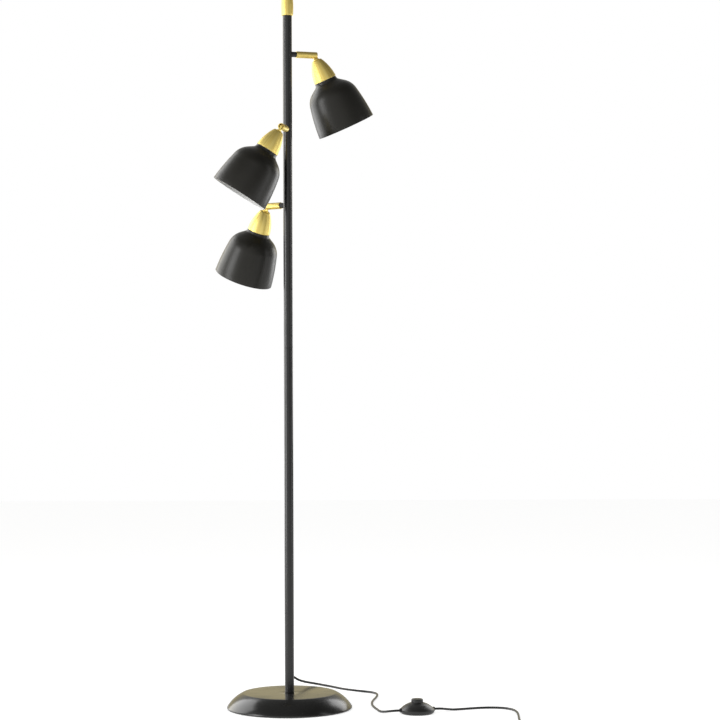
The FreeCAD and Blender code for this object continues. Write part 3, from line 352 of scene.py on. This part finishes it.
def makeMetal(name):
    look = metals[name]
    material, tree, shader, place = newMaterial(name, Metallic=1.0)
    grain = useGroup(tree, sprayGrain, {"Place": place, "Fineness": 900.0, "Drift": 160.0})
    fill(tree, shader["Base Color"], addMix(tree, grain["Cloud"], look["dark"], look["pale"]))
    fill(tree, shader["Roughness"], addRange(tree, grain["Cloud"], 0.3, 0.7, *look["roughness"]))
    fill(tree, shader["Normal"], addBump(tree, grain["Height"], grainDepth["metal"]))
    return material


def makeJacket():
    # extruded flex: a soft sheen, a fine even grain and scuffs
    material, tree, shader, place = newMaterial("flexJacket")
    grain = useGroup(tree, mouldGrain, {"Place": place, "Fineness": jacket["grain"]})
    marks = useGroup(tree, handling, {"Place": place})
    scuffed = addMix(tree, marks["Smudge"], jacket["color"], jacket["scuffed"])
    fill(tree, shader["Base Color"], scuffed)
    fill(tree, shader["Roughness"], addSmudge(tree, jacket["gloss"], marks, wear["flexSmudge"]))
    fill(tree, shader["Normal"], addBump(tree, grain["Height"], grainDepth["flex"]))
    return material


def makeOpal():
    material, tree, shader, place = newMaterial("opalGlass", Coat_Weight=0.6, Subsurface_Weight=0.25,
                                                Subsurface_Radius=(0.01, 0.01, 0.009), Subsurface_Scale=0.4)
    haze = addNoise(tree, place, 60.0, 3.0)
    fill(tree, shader["Base Color"], addMix(tree, haze, (0.86, 0.86, 0.83, 1), (0.92, 0.92, 0.90, 1)))
    fill(tree, shader["Roughness"], addRange(tree, haze, 0.3, 0.7, 0.22, 0.32))
    return material


finishes = {name: makePaint(name) for name in paints}
finishes.update({name: makePlastic(name) for name in plastics})
finishes.update({name: makeMetal(name) for name in metals})
finishes["flexJacket"] = makeJacket()
finishes["opalGlass"] = makeOpal()
print("finishes made,", len(finishes))


# Places, in millimetres and degrees as on a drawing; milli turns them into metres

milli = 0.001
heads = [
    {"azimuth": 20, "height": 1430, "swivel": 0, "tilt": 25.7},
    {"azimuth": -100, "height": 1265, "swivel": -32, "tilt": 6.3},
    {"azimuth": 140, "height": 1100, "swivel": 0, "tilt": 24.7},
]
pivotReach = 62


def turned(degrees, axis):
    return Matrix.Rotation(radians(degrees), 4, axis)


def armPlace(head):
    # Z points out along the arm
    rise = Matrix.Translation((0, 0, head["height"] * milli))
    lieDown = turned(180, Vector((1, 0, 1)).normalized())
    return rise @ turned(head["azimuth"], "Z") @ turned(head["swivel"], "X") @ lieDown


def headPlace(head):
    # Z points down into the shade
    pivot = armPlace(head) @ Vector((0, 0, pivotReach * milli))
    lean = turned(head["azimuth"], "Z") @ turned(head["swivel"], "X") @ turned(-head["tilt"], "Y")
    return Matrix.Translation(pivot) @ lean @ turned(180, "X")


# Outlines and turned pieces

# an arc under the small radius is drawn in coarse steps, and a larger one in fine steps, in degrees
arcSteps = {
    "small": 12,
    "coarse": 10,
    "fine": 1.5,
}


def arcPoints(start, end, bend):
    # the points between start and end on an arc of radius |bend|, which turns left if bend is positive
    chord = end - start
    side = 1 if bend > 0 else -1
    radius = abs(bend)
    left = Vector((-chord.y, chord.x)).normalized()
    middle = (start + end) / 2 + left * side * sqrt(radius ** 2 - chord.length_squared / 4)
    first = atan2(start.y - middle.y, start.x - middle.x)
    turn = 2 * asin(chord.length / 2 / radius) * side
    stepAngle = arcSteps["coarse"] if radius < arcSteps["small"] else arcSteps["fine"]
    steps = max(2, ceil(abs(turn) / radians(stepAngle)))
    angles = [first + turn * step / steps for step in range(1, steps)]
    return [middle + radius * Vector((cos(angle), sin(angle))) for angle in angles]


def drawPath(corners):
    # corners are (radius, height); a third number bends the way on to the next corner
    places = [Vector(corner[:2]) for corner in corners]
    points = []
    for index, corner in enumerate(corners):
        points.append(places[index])
        if len(corner) == 3:
            points += arcPoints(places[index], places[(index + 1) % len(corners)], corner[2])
    return points


def thicken(path, sheet):
    # the path, a rounded edge at its end, and the inner side of the sheet on the way back
    inner = []
    for index, point in enumerate(path):
        way = (path[min(index + 1, len(path) - 1)] - path[max(index - 1, 0)]).normalized()
        inner.append(point + Vector((-way.y, way.x)) * sheet)
    if path[-1].x < tiny:
        return path + inner[::-1]
    middle = (path[-1] + inner[-1]) / 2
    spoke = path[-1] - middle
    edge = [middle + turned2d(spoke, angle) for angle in (30, 60, 90, 120, 150)]
    return path + edge + inner[::-1]


def turned2d(arrow, degrees):
    angle = radians(degrees)
    return Vector((arrow.x * cos(angle) - arrow.y * sin(angle), arrow.x * sin(angle) + arrow.y * cos(angle)))


tiny = 0.001
mergeReach = 0.000005
sharpAngle = radians(33)


def settle(name, form, materials, body, replaced):
    # writes a bmesh in metres out as a smoothly shaded piece that rides on its body
    bmesh.ops.recalc_face_normals(form, faces=form.faces)
    for face in form.faces:
        face.smooth = True
    for edge in form.edges:
        edge.smooth = edge.calc_face_angle(0) < sharpAngle
    mesh = bpy.data.meshes.new(name)
    form.to_mesh(mesh)
    form.free()
    return enlist(name, mesh, materials, body, replaced)


def enlist(name, data, materials, body, replaced=()):
    piece = bpy.data.objects.new(name, data)
    bpy.context.scene.collection.objects.link(piece)
    for material in materials:
        data.materials.append(material)
    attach(piece, body)
    if replaced:
        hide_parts(*replaced)
    return piece


def lathe(name, outline, materials, body, replaced=(), place=Matrix(), sides=96, insideFrom=None):
    # turns a closed outline about the place's Z axis; from insideFrom on it takes the second material
    form = bmesh.new()
    rings = []
    for point in outline:
        count = 1 if point.x < tiny else sides
        angles = [2 * pi * side / sides for side in range(count)]
        spots = [Vector((point.x * cos(angle), point.x * sin(angle), point.y)) for angle in angles]
        rings.append([form.verts.new(place @ (spot * milli)) for spot in spots])
    for index, ring in enumerate(rings):
        after = rings[(index + 1) % len(rings)]
        if len(ring) == len(after) == 1:
            continue
        for side in range(sides):
            following = side + 1
            corners = (ring[side % len(ring)], ring[following % len(ring)],
                       after[following % len(after)], after[side % len(after)])
            face = form.faces.new(dict.fromkeys(corners))
            face.material_index = int(insideFrom is not None and index >= insideFrom)
    return settle(name, form, materials, body, replaced)


def pieceName(node):
    first, *others = node.split("_")
    return first + "".join(word.capitalize() for word in others)


def dress(node, material):
    # a merged, smoothly shaded copy that stands for a node whose shape is already right
    form = bmesh.new()
    form.from_mesh(nodes[node].data)
    bmesh.ops.remove_doubles(form, verts=form.verts, dist=mergeReach)
    return settle(pieceName(node), form, [material], nodes[node]["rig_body"], [node])


def paint(node, material):
    # a hidden or inner node keeps its own mesh
    data = nodes[node].data
    data.materials.clear()
    data.materials.append(material)


# Flex: one length from the pole to the switch, and one from the switch to the plug

flex = {
    "thickness": 5.0,
    "lead": 14.0,
    "leaveCoil": 0.8,
    "enterPlug": 0.9,
    "exit": (0, 30, 66.5),
    "toSwitchLength": 0.621,
    "toPlugLength": 1.401,
    "fall": [
        (0, 42, 66.5), (2.9, 53.5, 64), (8.8, 63.5, 58.5), (17.2, 73, 51.8), (28.8, 84.5, 46.2),
        (42.4, 98, 41.5), (57, 111.5, 37), (73, 127, 31.5), (89, 147, 25.5), (104, 171, 18.5),
        (119, 196, 11.8), (133, 213, 7.4), (150, 221, 4), (168, 219, 2.6), (183, 207, 2.6),
        (192, 189, 2.6), (193.5, 165, 2.6), (190, 131, 2.6), (183, 91, 2.6), (179.5, 50, 2.6),
        (182, 11, 2.6), (188, -20, 2.6), (193, -42, 2.6), (196.5, -59.5, 2.8), (203, -74, 4),
        (213.5, -83.5, 6.2),
    ],
    "onward": [
        (341, -49.5, 5.4), (356, -41.5, 2.9), (376, -32.5, 2.6), (400, -21.5, 2.6), (427, -14, 2.6),
        (453, -14.5, 2.6), (473, -24, 2.6), (485.5, -42, 2.6), (491, -66, 2.6), (492.5, -98, 2.6),
        (491, -135, 2.6), (489.5, -173, 2.7), (488.6, -209, 3.2),
    ],
}
switch = {
    "middle": Vector((277, -71.7, 8)),
    "turn": 16,
    "reach": 39.1,
}
coil = {
    "middle": Vector((453, -272)),
    "outerRadius": 36,
    "pitch": 5.7,
    "layer": 5.7,
    "turns": 5.25,
    "lowest": 3.5,
    "softness": 0.8,
    "stepsPerTurn": 24,
}
plug = {
    "middle": (409, -307, 7.5),
    "neck": 9,
    "halfThickness": 6.9,
    "ribs": 6,
    "firstRib": -15.5,
    "ribStep": -2.8,
    "ribRadius": 0.5,
    "ribLength": 16,
}


def switchPoint(reach):
    return switch["middle"] + turned(switch["turn"], "Z") @ Vector((reach, 0, 0))


def coilPoint(angle):
    # clockwise and inwards on the lower layer, then up and outwards again on the upper one
    pitch = coil["pitch"] / (2 * pi)
    reversal = pi * coil["turns"]
    past = angle - reversal
    swing = sqrt(past ** 2 + coil["softness"] ** 2)
    fullSwing = sqrt(reversal ** 2 + coil["softness"] ** 2)
    radius = coil["outerRadius"] - pitch * (fullSwing - swing)
    climb = min(max(past / pi + 0.5, 0), 1)
    height = coil["lowest"] + coil["layer"] * climb ** 2 * (3 - 2 * climb)
    middle = coil["middle"]
    return Vector((middle.x + radius * cos(angle), middle.y - radius * sin(angle), height))


def layCord(name, route, replaced):
    data = bpy.data.curves.new(name, "CURVE")
    data.dimensions = "3D"
    data.bevel_depth = flex["thickness"] / 2 * milli
    data.bevel_resolution = 6
    data.resolution_u = 6
    data.use_fill_caps = True
    spline = data.splines.new("NURBS")
    spline.points.add(len(route) - 1)
    for point, spot in zip(spline.points, route):
        point.co = (*(Vector(spot) * milli), 1)
    spline.order_u = 3
    spline.use_endpoint_u = True
    cord = enlist(name, data, [finishes["flexJacket"]], "stand", replaced)


def makeSwitch():
    lower = dress("switch_lower", finishes["switchPlastic"])
    upper = dress("switch_upper", finishes["switchPlastic"])
    button = dress("switch_button", finishes["buttonPlastic"])
    paint("switch_screws", finishes["zincPlate"])
    paint("switch_spring", finishes["zincPlate"])
    return [lower, upper, button, "switch_screws", "switch_spring"]


def makeFlex(switchPieces, plugPieces):
    lead = flex["lead"]
    reach = switch["reach"]
    arrival = [switchPoint(-reach - lead), switchPoint(-reach)]
    layCord("flexToSwitch", [flex["exit"], *flex["fall"], *arrival],
            ["cord_to_switch"])

    lastAngle = 2 * pi * coil["turns"]
    steps = round(coil["turns"] * coil["stepsPerTurn"])
    winding = [coilPoint(lastAngle * step / steps) for step in range(steps + 1)]
    wayIn = (coilPoint(0.01) - coilPoint(0)).normalized()
    wayOut = (coilPoint(lastAngle) - coilPoint(lastAngle - 0.01)).normalized()
    tail = Vector(plug["middle"]) + Vector((plug["neck"], 0, 0))
    departure = [switchPoint(reach), switchPoint(reach + lead)]
    toPlug = [winding[-1] + wayOut * lead * flex["leaveCoil"],
              tail + Vector((lead * flex["enterPlug"], 0, 0)), tail]
    route = [*departure, *flex["onward"], winding[0] - wayIn * 2 * lead, *winding, *toPlug]
    layCord("flexToPlug", route,
            ["cord_from_switch", "cord_coil", "cord_to_plug"])


# Repeated ribs, made by geometry nodes

def newShaping(name, inputs):
    tree = bpy.data.node_groups.new(name, "GeometryNodeTree")
    for label, kind in inputs.items():
        tree.interface.new_socket(name=label, in_out="INPUT", socket_type=kind)
    tree.interface.new_socket(name="Geometry", in_out="OUTPUT", socket_type="NodeSocketGeometry")
    entry = tree.nodes.new("NodeGroupInput").outputs
    leaving = tree.nodes.new("NodeGroupOutput").inputs
    return tree, entry, leaving


def finishShaping(tree, instances, material, leaving):
    real = addNode(tree, "GeometryNodeRealizeInstances", {"Geometry": instances}).outputs[0]
    dressed = addNode(tree, "GeometryNodeSetMaterial", {"Geometry": real, "Material": material}).outputs[0]
    tree.links.new(dressed, leaving["Geometry"])


def addRib(tree, radius, length):
    sizes = {"Vertices": 12, "Radius": radius, "Depth": length}
    rib = addNode(tree, "GeometryNodeMeshCylinder", sizes).outputs["Mesh"]
    return addNode(tree, "GeometryNodeSetShadeSmooth", {"Geometry": rib}).outputs[0]


def makeRibRing():
    # upright ribs round a circle, like the grip of a ring nut
    inputs = {"Count": "NodeSocketInt", "Ring Radius": "NodeSocketFloat", "Rib Radius": "NodeSocketFloat",
              "Rib Length": "NodeSocketFloat", "Finish": "NodeSocketMaterial"}
    tree, entry, leaving = newShaping("ribRing", inputs)
    ringSizes = {"Vertices": entry["Count"], "Radius": entry["Ring Radius"]}
    circle = addNode(tree, "GeometryNodeMeshCircle", ringSizes)
    rib = addRib(tree, entry["Rib Radius"], entry["Rib Length"])
    placed = addNode(tree, "GeometryNodeInstanceOnPoints", {"Points": circle.outputs[0], "Instance": rib})
    finishShaping(tree, placed.outputs[0], entry["Finish"], leaving)
    return tree


def makeRibRow():
    # ribs side by side along a line, each narrower than the last where there is a taper
    inputs = {"Count": "NodeSocketInt", "Start": "NodeSocketVector", "Step": "NodeSocketVector",
              "Turn": "NodeSocketVector", "Rib Radius": "NodeSocketFloat", "Rib Length": "NodeSocketFloat",
              "Taper": "NodeSocketFloat", "Finish": "NodeSocketMaterial"}
    tree, entry, leaving = newShaping("ribRow", inputs)
    line = addNode(tree, "GeometryNodeMeshLine", {"Count": entry["Count"], "Start Location": entry["Start"],
                                                  "Offset": entry["Step"]})
    rib = addRib(tree, entry["Rib Radius"], entry["Rib Length"])
    order = addNode(tree, "GeometryNodeInputIndex").outputs[0]
    width = addMath(tree, "SUBTRACT", 1.0, addMath(tree, "MULTIPLY", order, entry["Taper"]))
    scale = addNode(tree, "ShaderNodeCombineXYZ", {"X": width, "Y": width, "Z": 1.0}).outputs[0]
    placed = addNode(tree, "GeometryNodeInstanceOnPoints", {"Points": line.outputs[0], "Instance": rib,
                                                            "Rotation": entry["Turn"], "Scale": scale})
    finishShaping(tree, placed.outputs[0], entry["Finish"], leaving)
    return tree


def grow(name, tree, values, place, body):
    # runs a tree on an empty object and keeps the result as a plain mesh
    maker = bpy.data.objects.new(name + "Maker", bpy.data.meshes.new(name + "Start"))
    bpy.context.scene.collection.objects.link(maker)
    modifier = maker.modifiers.new("ribs", "NODES")
    modifier.node_group = tree
    for item in tree.interface.items_tree:
        if item.in_out == "INPUT":
            modifier[item.identifier] = values[item.name]
    bpy.context.view_layer.update()
    graph = bpy.context.evaluated_depsgraph_get()
    mesh = bpy.data.meshes.new_from_object(maker.evaluated_get(graph))
    mesh.name = name
    bpy.data.objects.remove(maker)
    mesh.transform(place)
    return enlist(name, mesh, [], body)


ribRing = makeRibRing()
ribRow = makeRibRow()


# Base and pole

base = {
    "radius": 137,
    "height": 35.3,
    "flatRadius": 102,
    "flankBend": 76,
    "flankStart": 4.6,
    "lip": [(134.6, 0.8, 2.4), (137, 2.8), (137, 3.5, 3.7)],
    "flankFoot": (136.45, 5.5),
    "flatRings": (70, 30),
    "shoulderBend": 10,
    "sheet": 1.5,
    "boltHole": 5.4,
}
pole = {
    "radius": 10,
    "bore": 8.5,
    "edge": 0.5,
    "seam": 788.5,
    "top": 1530,
}
finial = {
    "radius": 12.7,
    "bottom": 1514,
    "top": 1550,
    "edge": 1.8,
    "sideBend": 180,
    "socket": 10.1,
}
boot = {
    "rings": 5,
    "firstRing": 15.0,
    "ringStep": 3.2,
    "ringRadius": 5.15,
    "ringLength": 1.2,
    "taper": 0.055,
}


def shoulderEnds():
    # where the shoulder's small arc leaves the flank's large one, and where it reaches the flat top
    foot = Vector((base["radius"], base["flankStart"]))
    brow = Vector((base["flatRadius"], base["height"]))
    chord = brow - foot
    left = Vector((-chord.y, chord.x)).normalized()
    flankMiddle = (foot + brow) / 2 + left * sqrt(base["flankBend"] ** 2 - chord.length_squared / 4)
    reach = base["flankBend"] - base["shoulderBend"]
    drop = base["height"] - base["shoulderBend"] - flankMiddle.y
    shoulderMiddle = flankMiddle + Vector((sqrt(reach ** 2 - drop ** 2), drop))
    onFlank = flankMiddle + (shoulderMiddle - flankMiddle) * base["flankBend"] / reach
    return onFlank, Vector((shoulderMiddle.x, base["height"]))


def makeBase():
    onFlank, onTop = shoulderEnds()
    path = drawPath([
        *base["lip"],
        (*base["flankFoot"], base["flankBend"]),
        (*onFlank, base["shoulderBend"]),
        tuple(onTop),
        *[(radius, base["height"]) for radius in base["flatRings"]],
        (base["boltHole"], base["height"]),
    ])
    lathe("baseCover", thicken(path, base["sheet"]), [finishes["basePaint"]], "stand",
          ["base_cover"], sides=160)
    for node, finish in (("base_pad", "padFoam"), ("base_plate", "zincPlate"), ("base_weight", "rawCasting"),
                         ("base_washer", "zincPlate"), ("base_bolt", "zincPlate")):
        paint(node, finishes[finish])


def makePole():
    edge = pole["edge"]
    inner = pole["radius"] - edge
    for name, node, bottom, top in (("poleLower", "pole_lower", base["height"], pole["seam"]),
                                    ("poleUpper", "pole_upper", pole["seam"], pole["top"])):
        outline = drawPath([
            (pole["bore"], bottom), (inner, bottom, edge), (pole["radius"], bottom + edge),
            (pole["radius"], top - edge, edge), (inner, top), (pole["bore"], top),
        ])
        lathe(name, outline, [finishes["polePaint"]], "stand", [node], sides=64)
    for node in ("foot_plug", "pole_joiner"):
        paint(node, finishes["zincPlate"])
    paint("pole_wiring", finishes["flexJacket"])


def makeFinial():
    radius, edge = finial["radius"], finial["edge"]
    bottom, top = finial["bottom"], finial["top"]
    outline = drawPath([
        (finial["socket"], bottom), (radius - edge, bottom, edge),
        (radius, bottom + edge, finial["sideBend"]),
        (radius, top - edge, edge), (radius - edge, top), (0, top), (0, pole["top"]),
        (finial["socket"], pole["top"]),
    ])
    coat = makeBrass("brassFinial", Matrix())
    lathe("finialCap", outline, [coat], "stand", ["finial"], sides=72)


def makeBoot():
    # the tapered relief at the pole's back, with its bending rings
    dress("cord_boot", finishes["blackMoulding"])
    rings = {"Count": boot["rings"], "Start": (0, 0, boot["firstRing"] * milli),
             "Step": (0, 0, boot["ringStep"] * milli), "Turn": (0, 0, 0),
             "Rib Radius": boot["ringRadius"] * milli, "Rib Length": boot["ringLength"] * milli,
             "Taper": boot["taper"], "Finish": finishes["blackMoulding"]}
    place = Matrix.Translation((0, 0, flex["exit"][2] * milli)) @ turned(-90, "X")
    grow("bootRings", ribRow, rings, place, "stand")


# Arms and heads

shade = {
    "path": [
        (20.0, 59.2), (24.1, 59.2, 0.6), (24.7, 59.8), (24.7, 60.5, -9), (28.5, 67.9), (39, 75.5, 43),
        (56, 103, 450), (64.95, 170.6),
    ],
    "sheet": 0.8,
}
cap = {
    "path": [(5.1, 11), (7.5, 11, 5), (12, 14, 105), (25.35, 58.0)],
    "sheet": 1.0,
}
bulb = {
    "globe": 22.5,
    "middle": 102.3,
    "neck": 12.5,
    "glass": 0.9,
    "start": 75,
    "base": [(0, 49), (4.4, 49), (13.2, 54), (13.2, 77.4, 0.6), (12.6, 78), (12.6, 55), (0, 54.9)],
}
ring = {
    "ribs": 30,
    "radius": 23.1,
    "middle": 63.0,
    "ribRadius": 0.6,
    "ribLength": 4.6,
}


def makeArm(number, head):
    brassTube = makeBrass(f"brassArm{number}", armPlace(head))
    dress(f"arm_{number}", brassTube)
    dress(f"arm_stub_{number}", finishes["polePaint"])
    dress(f"pivot_pin_{number}", brassTube)


def makeHead(number, head):
    body = f"head_{number}"
    place = headPlace(head)
    brassHead = makeBrass(f"brassHead{number}", place)
    dress(f"knuckle_{number}", brassHead)
    lathe(f"cap{number}", thicken(drawPath(cap["path"]), cap["sheet"]), [brassHead], body,
          [f"cap_{number}"], place)
    path = drawPath(shade["path"])
    # the inner faces take the white enamel, greyed as painted shade for the dim inside of the shade
    lathe(f"shade{number}", thicken(path, shade["sheet"]), [finishes["shadePaint"], finishes["enamelGreyedAsShade"]],
          body, [f"shade_{number}"], place, 144, len(path) + 3)
    dress(f"lamp_holder_{number}", finishes["holderPlastic"])
    dress(f"shade_ring_{number}", finishes["holderPlastic"])
    grips = {"Count": ring["ribs"], "Ring Radius": ring["radius"] * milli,
             "Rib Radius": ring["ribRadius"] * milli, "Rib Length": ring["ribLength"] * milli,
             "Finish": finishes["holderPlastic"]}
    ringPlace = place @ Matrix.Translation((0, 0, ring["middle"] * milli))
    grow(f"ringGrip{number}", ribRing, grips, ringPlace, body)
    paint(f"knuckle_nut_{number}", finishes["zincPlate"])
    paint(f"head_wires_{number}", finishes["coreInsulation"])
    makeBulb(number, body, place)


def makeBulb(number, body, place):
    globe, neck, middle = bulb["globe"], bulb["neck"], bulb["middle"]
    shoulder = middle - sqrt(globe ** 2 - neck ** 2)
    path = drawPath([
        (neck, bulb["start"]), (neck, shoulder, globe), (globe, middle, globe), (0, middle + globe),
    ])
    lathe(f"bulbGlass{number}", thicken(path, bulb["glass"]), [finishes["opalGlass"]], body,
          [f"bulb_{number}"], place, 72)
    lathe(f"bulbBase{number}", drawPath(bulb["base"]), [finishes["pinMetal"]], body,
          [f"bulb_{number}"], place, 48)


# Plug

def makePlug():
    body = dress("plug_body", finishes["blackMoulding"])
    pins = dress("plug_pins", finishes["pinMetal"])
    tie = dress("coil_tie", finishes["blackMoulding"])
    grips = []
    for side in (-1, 1):
        start = Vector((plug["firstRib"], 0, side * plug["halfThickness"])) * milli
        row = {"Count": plug["ribs"], "Start": start, "Step": (plug["ribStep"] * milli, 0, 0),
               "Turn": (radians(90), 0, 0), "Rib Radius": plug["ribRadius"] * milli,
               "Rib Length": plug["ribLength"] * milli, "Taper": 0.0,
               "Finish": finishes["blackMoulding"]}
        name = "plugGripUpper" if side > 0 else "plugGripLower"
        grips.append(grow(name, ribRow, row, Matrix.Translation(Vector(plug["middle"]) * milli), "stand"))
    return [body, pins, tie, *grips]


makeFlex(makeSwitch(), makePlug())
print("flex laid")
makeBase()
makePole()
makeFinial()
makeBoot()
print("stand made")
for node in ("swivel_washers", "swivel_nuts"):
    paint(node, finishes["zincPlate"])
for number, head in enumerate(heads, start=1):
    makeArm(number, head)
    makeHead(number, head)
print("arms and heads made")


# Studio

studio = {
    "floorSize": 14,
    "floorGlow": 0.70,
    "ambient": 0.30,
}
lamps = {
    "tallBox": {"place": (-2.3, -1.05, 1.05), "size": (1.0, 2.0), "power": 36},
    "rightStrip": {"place": (2.1, -0.5, 1.0), "size": (0.35, 1.8), "power": 5},
    "overhead": {"place": (-0.3, 0.2, 3.1), "size": (1.6, 1.6), "power": 8, "shines": False},
    "leftCard": {"place": (-2.3, 1.5, 1.5), "size": (2.6, 3.0), "power": 72, "lights": False},
    "rightCard": {"place": (1.2, 1.25, 1.05), "size": (0.8, 1.0), "power": 9, "lights": False},
}
# each row fades a direction's part from its first number to its second, out of the third into the fourth
surroundings = {
    "side": (-0.2, 0.95, 0.95, 0.28),
    "upward": (0.3, 0.9, 1.0, 0.3),
    "offFloor": (0.0, 0.09, 0.0, 1.0),
    "lowDown": (0.2, 0.55, 1.0, 0.0),
    "behind": (0.1, 0.8, 0.0, 1.0),
    "warmth": (0.80, 0.70, 0.42, 1),
}
aim = Vector((0.05, 0, 0.8))


def makeLamp(name):
    look = lamps[name]
    data = bpy.data.lights.new(name, "AREA")
    data.shape = "RECTANGLE"
    data.size, data.size_y = look["size"]
    data.energy = look["power"]
    lamp = bpy.data.objects.new(name, data)
    bpy.context.scene.collection.objects.link(lamp)
    way = aim - Vector(look["place"])
    lamp.matrix_world = Matrix.Translation(look["place"]) @ way.to_track_quat("-Z", "Y").to_matrix().to_4x4()
    lamp.visible_camera = False
    lamp.visible_glossy = look.get("shines", True)
    lamp.visible_diffuse = look.get("lights", True)


def makeWorld():
    # white to the camera; a bright left side and a darker right side in what shines
    world = bpy.data.worlds.new("studio")
    bpy.context.scene.world = world
    world.use_nodes = True
    tree = world.node_tree
    tree.nodes.clear()
    rays = addNode(tree, "ShaderNodeLightPath").outputs
    way = addNode(tree, "ShaderNodeTexCoord").outputs["Generated"]
    parts = addNode(tree, "ShaderNodeSeparateXYZ", {"Vector": way}).outputs
    side = addRange(tree, parts[0], *surroundings["side"])
    level = addMath(tree, "MULTIPLY", side, addRange(tree, parts[2], *surroundings["upward"]))
    low = addMath(tree, "MULTIPLY", addRange(tree, parts[2], *surroundings["offFloor"]),
                  addRange(tree, parts[2], *surroundings["lowDown"]))
    behind = addRange(tree, parts[1], *surroundings["behind"])
    wall = addMix(tree, addMath(tree, "MULTIPLY", low, behind), (1, 1, 1, 1), surroundings["warmth"])
    grey = addNode(tree, "ShaderNodeVectorMath", {0: wall}, operation="SCALE")
    fill(tree, grey.inputs["Scale"], addMath(tree, "MAXIMUM", level, addMath(tree, "MULTIPLY", behind, low)))
    glossy = addMix(tree, rays["Is Glossy Ray"], (studio["ambient"],) * 3 + (1,), grey.outputs[0])
    clear = addMath(tree, "MAXIMUM", rays["Is Camera Ray"], rays["Is Transmission Ray"])
    color = addMix(tree, clear, glossy, (1, 1, 1, 1))
    background = addNode(tree, "ShaderNodeBackground", {"Color": color, "Strength": 1.0})
    output = addNode(tree, "ShaderNodeOutputWorld")
    tree.links.new(background.outputs[0], output.inputs["Surface"])


def makeFloor():
    form = bmesh.new()
    bmesh.ops.create_grid(form, x_segments=1, y_segments=1, size=studio["floorSize"] / 2)
    mesh = bpy.data.meshes.new("floor")
    form.to_mesh(mesh)
    form.free()
    floor = bpy.data.objects.new("floor", mesh)
    bpy.context.scene.collection.objects.link(floor)
    material, tree, shader, place = newMaterial("floorPaper", Roughness=0.9, Specular_IOR_Level=0.1)
    rays = addNode(tree, "ShaderNodeLightPath").outputs
    shown = addMath(tree, "MAXIMUM", rays["Is Camera Ray"], addMath(tree, "MAXIMUM", rays["Is Glossy Ray"],
                                                                     rays["Is Transmission Ray"]))
    paper = addNoise(tree, place, 240.0, 3.0)
    fill(tree, shader["Base Color"], addMix(tree, paper, (0.86, 0.86, 0.85, 1), (0.90, 0.90, 0.89, 1)))
    fill(tree, shader["Emission Color"], (1, 1, 1, 1))
    fill(tree, shader["Emission Strength"], addMath(tree, "MULTIPLY", shown, studio["floorGlow"]))
    mesh.materials.append(material)


for name in lamps:
    makeLamp(name)
makeWorld()
makeFloor()
print("studio lit")
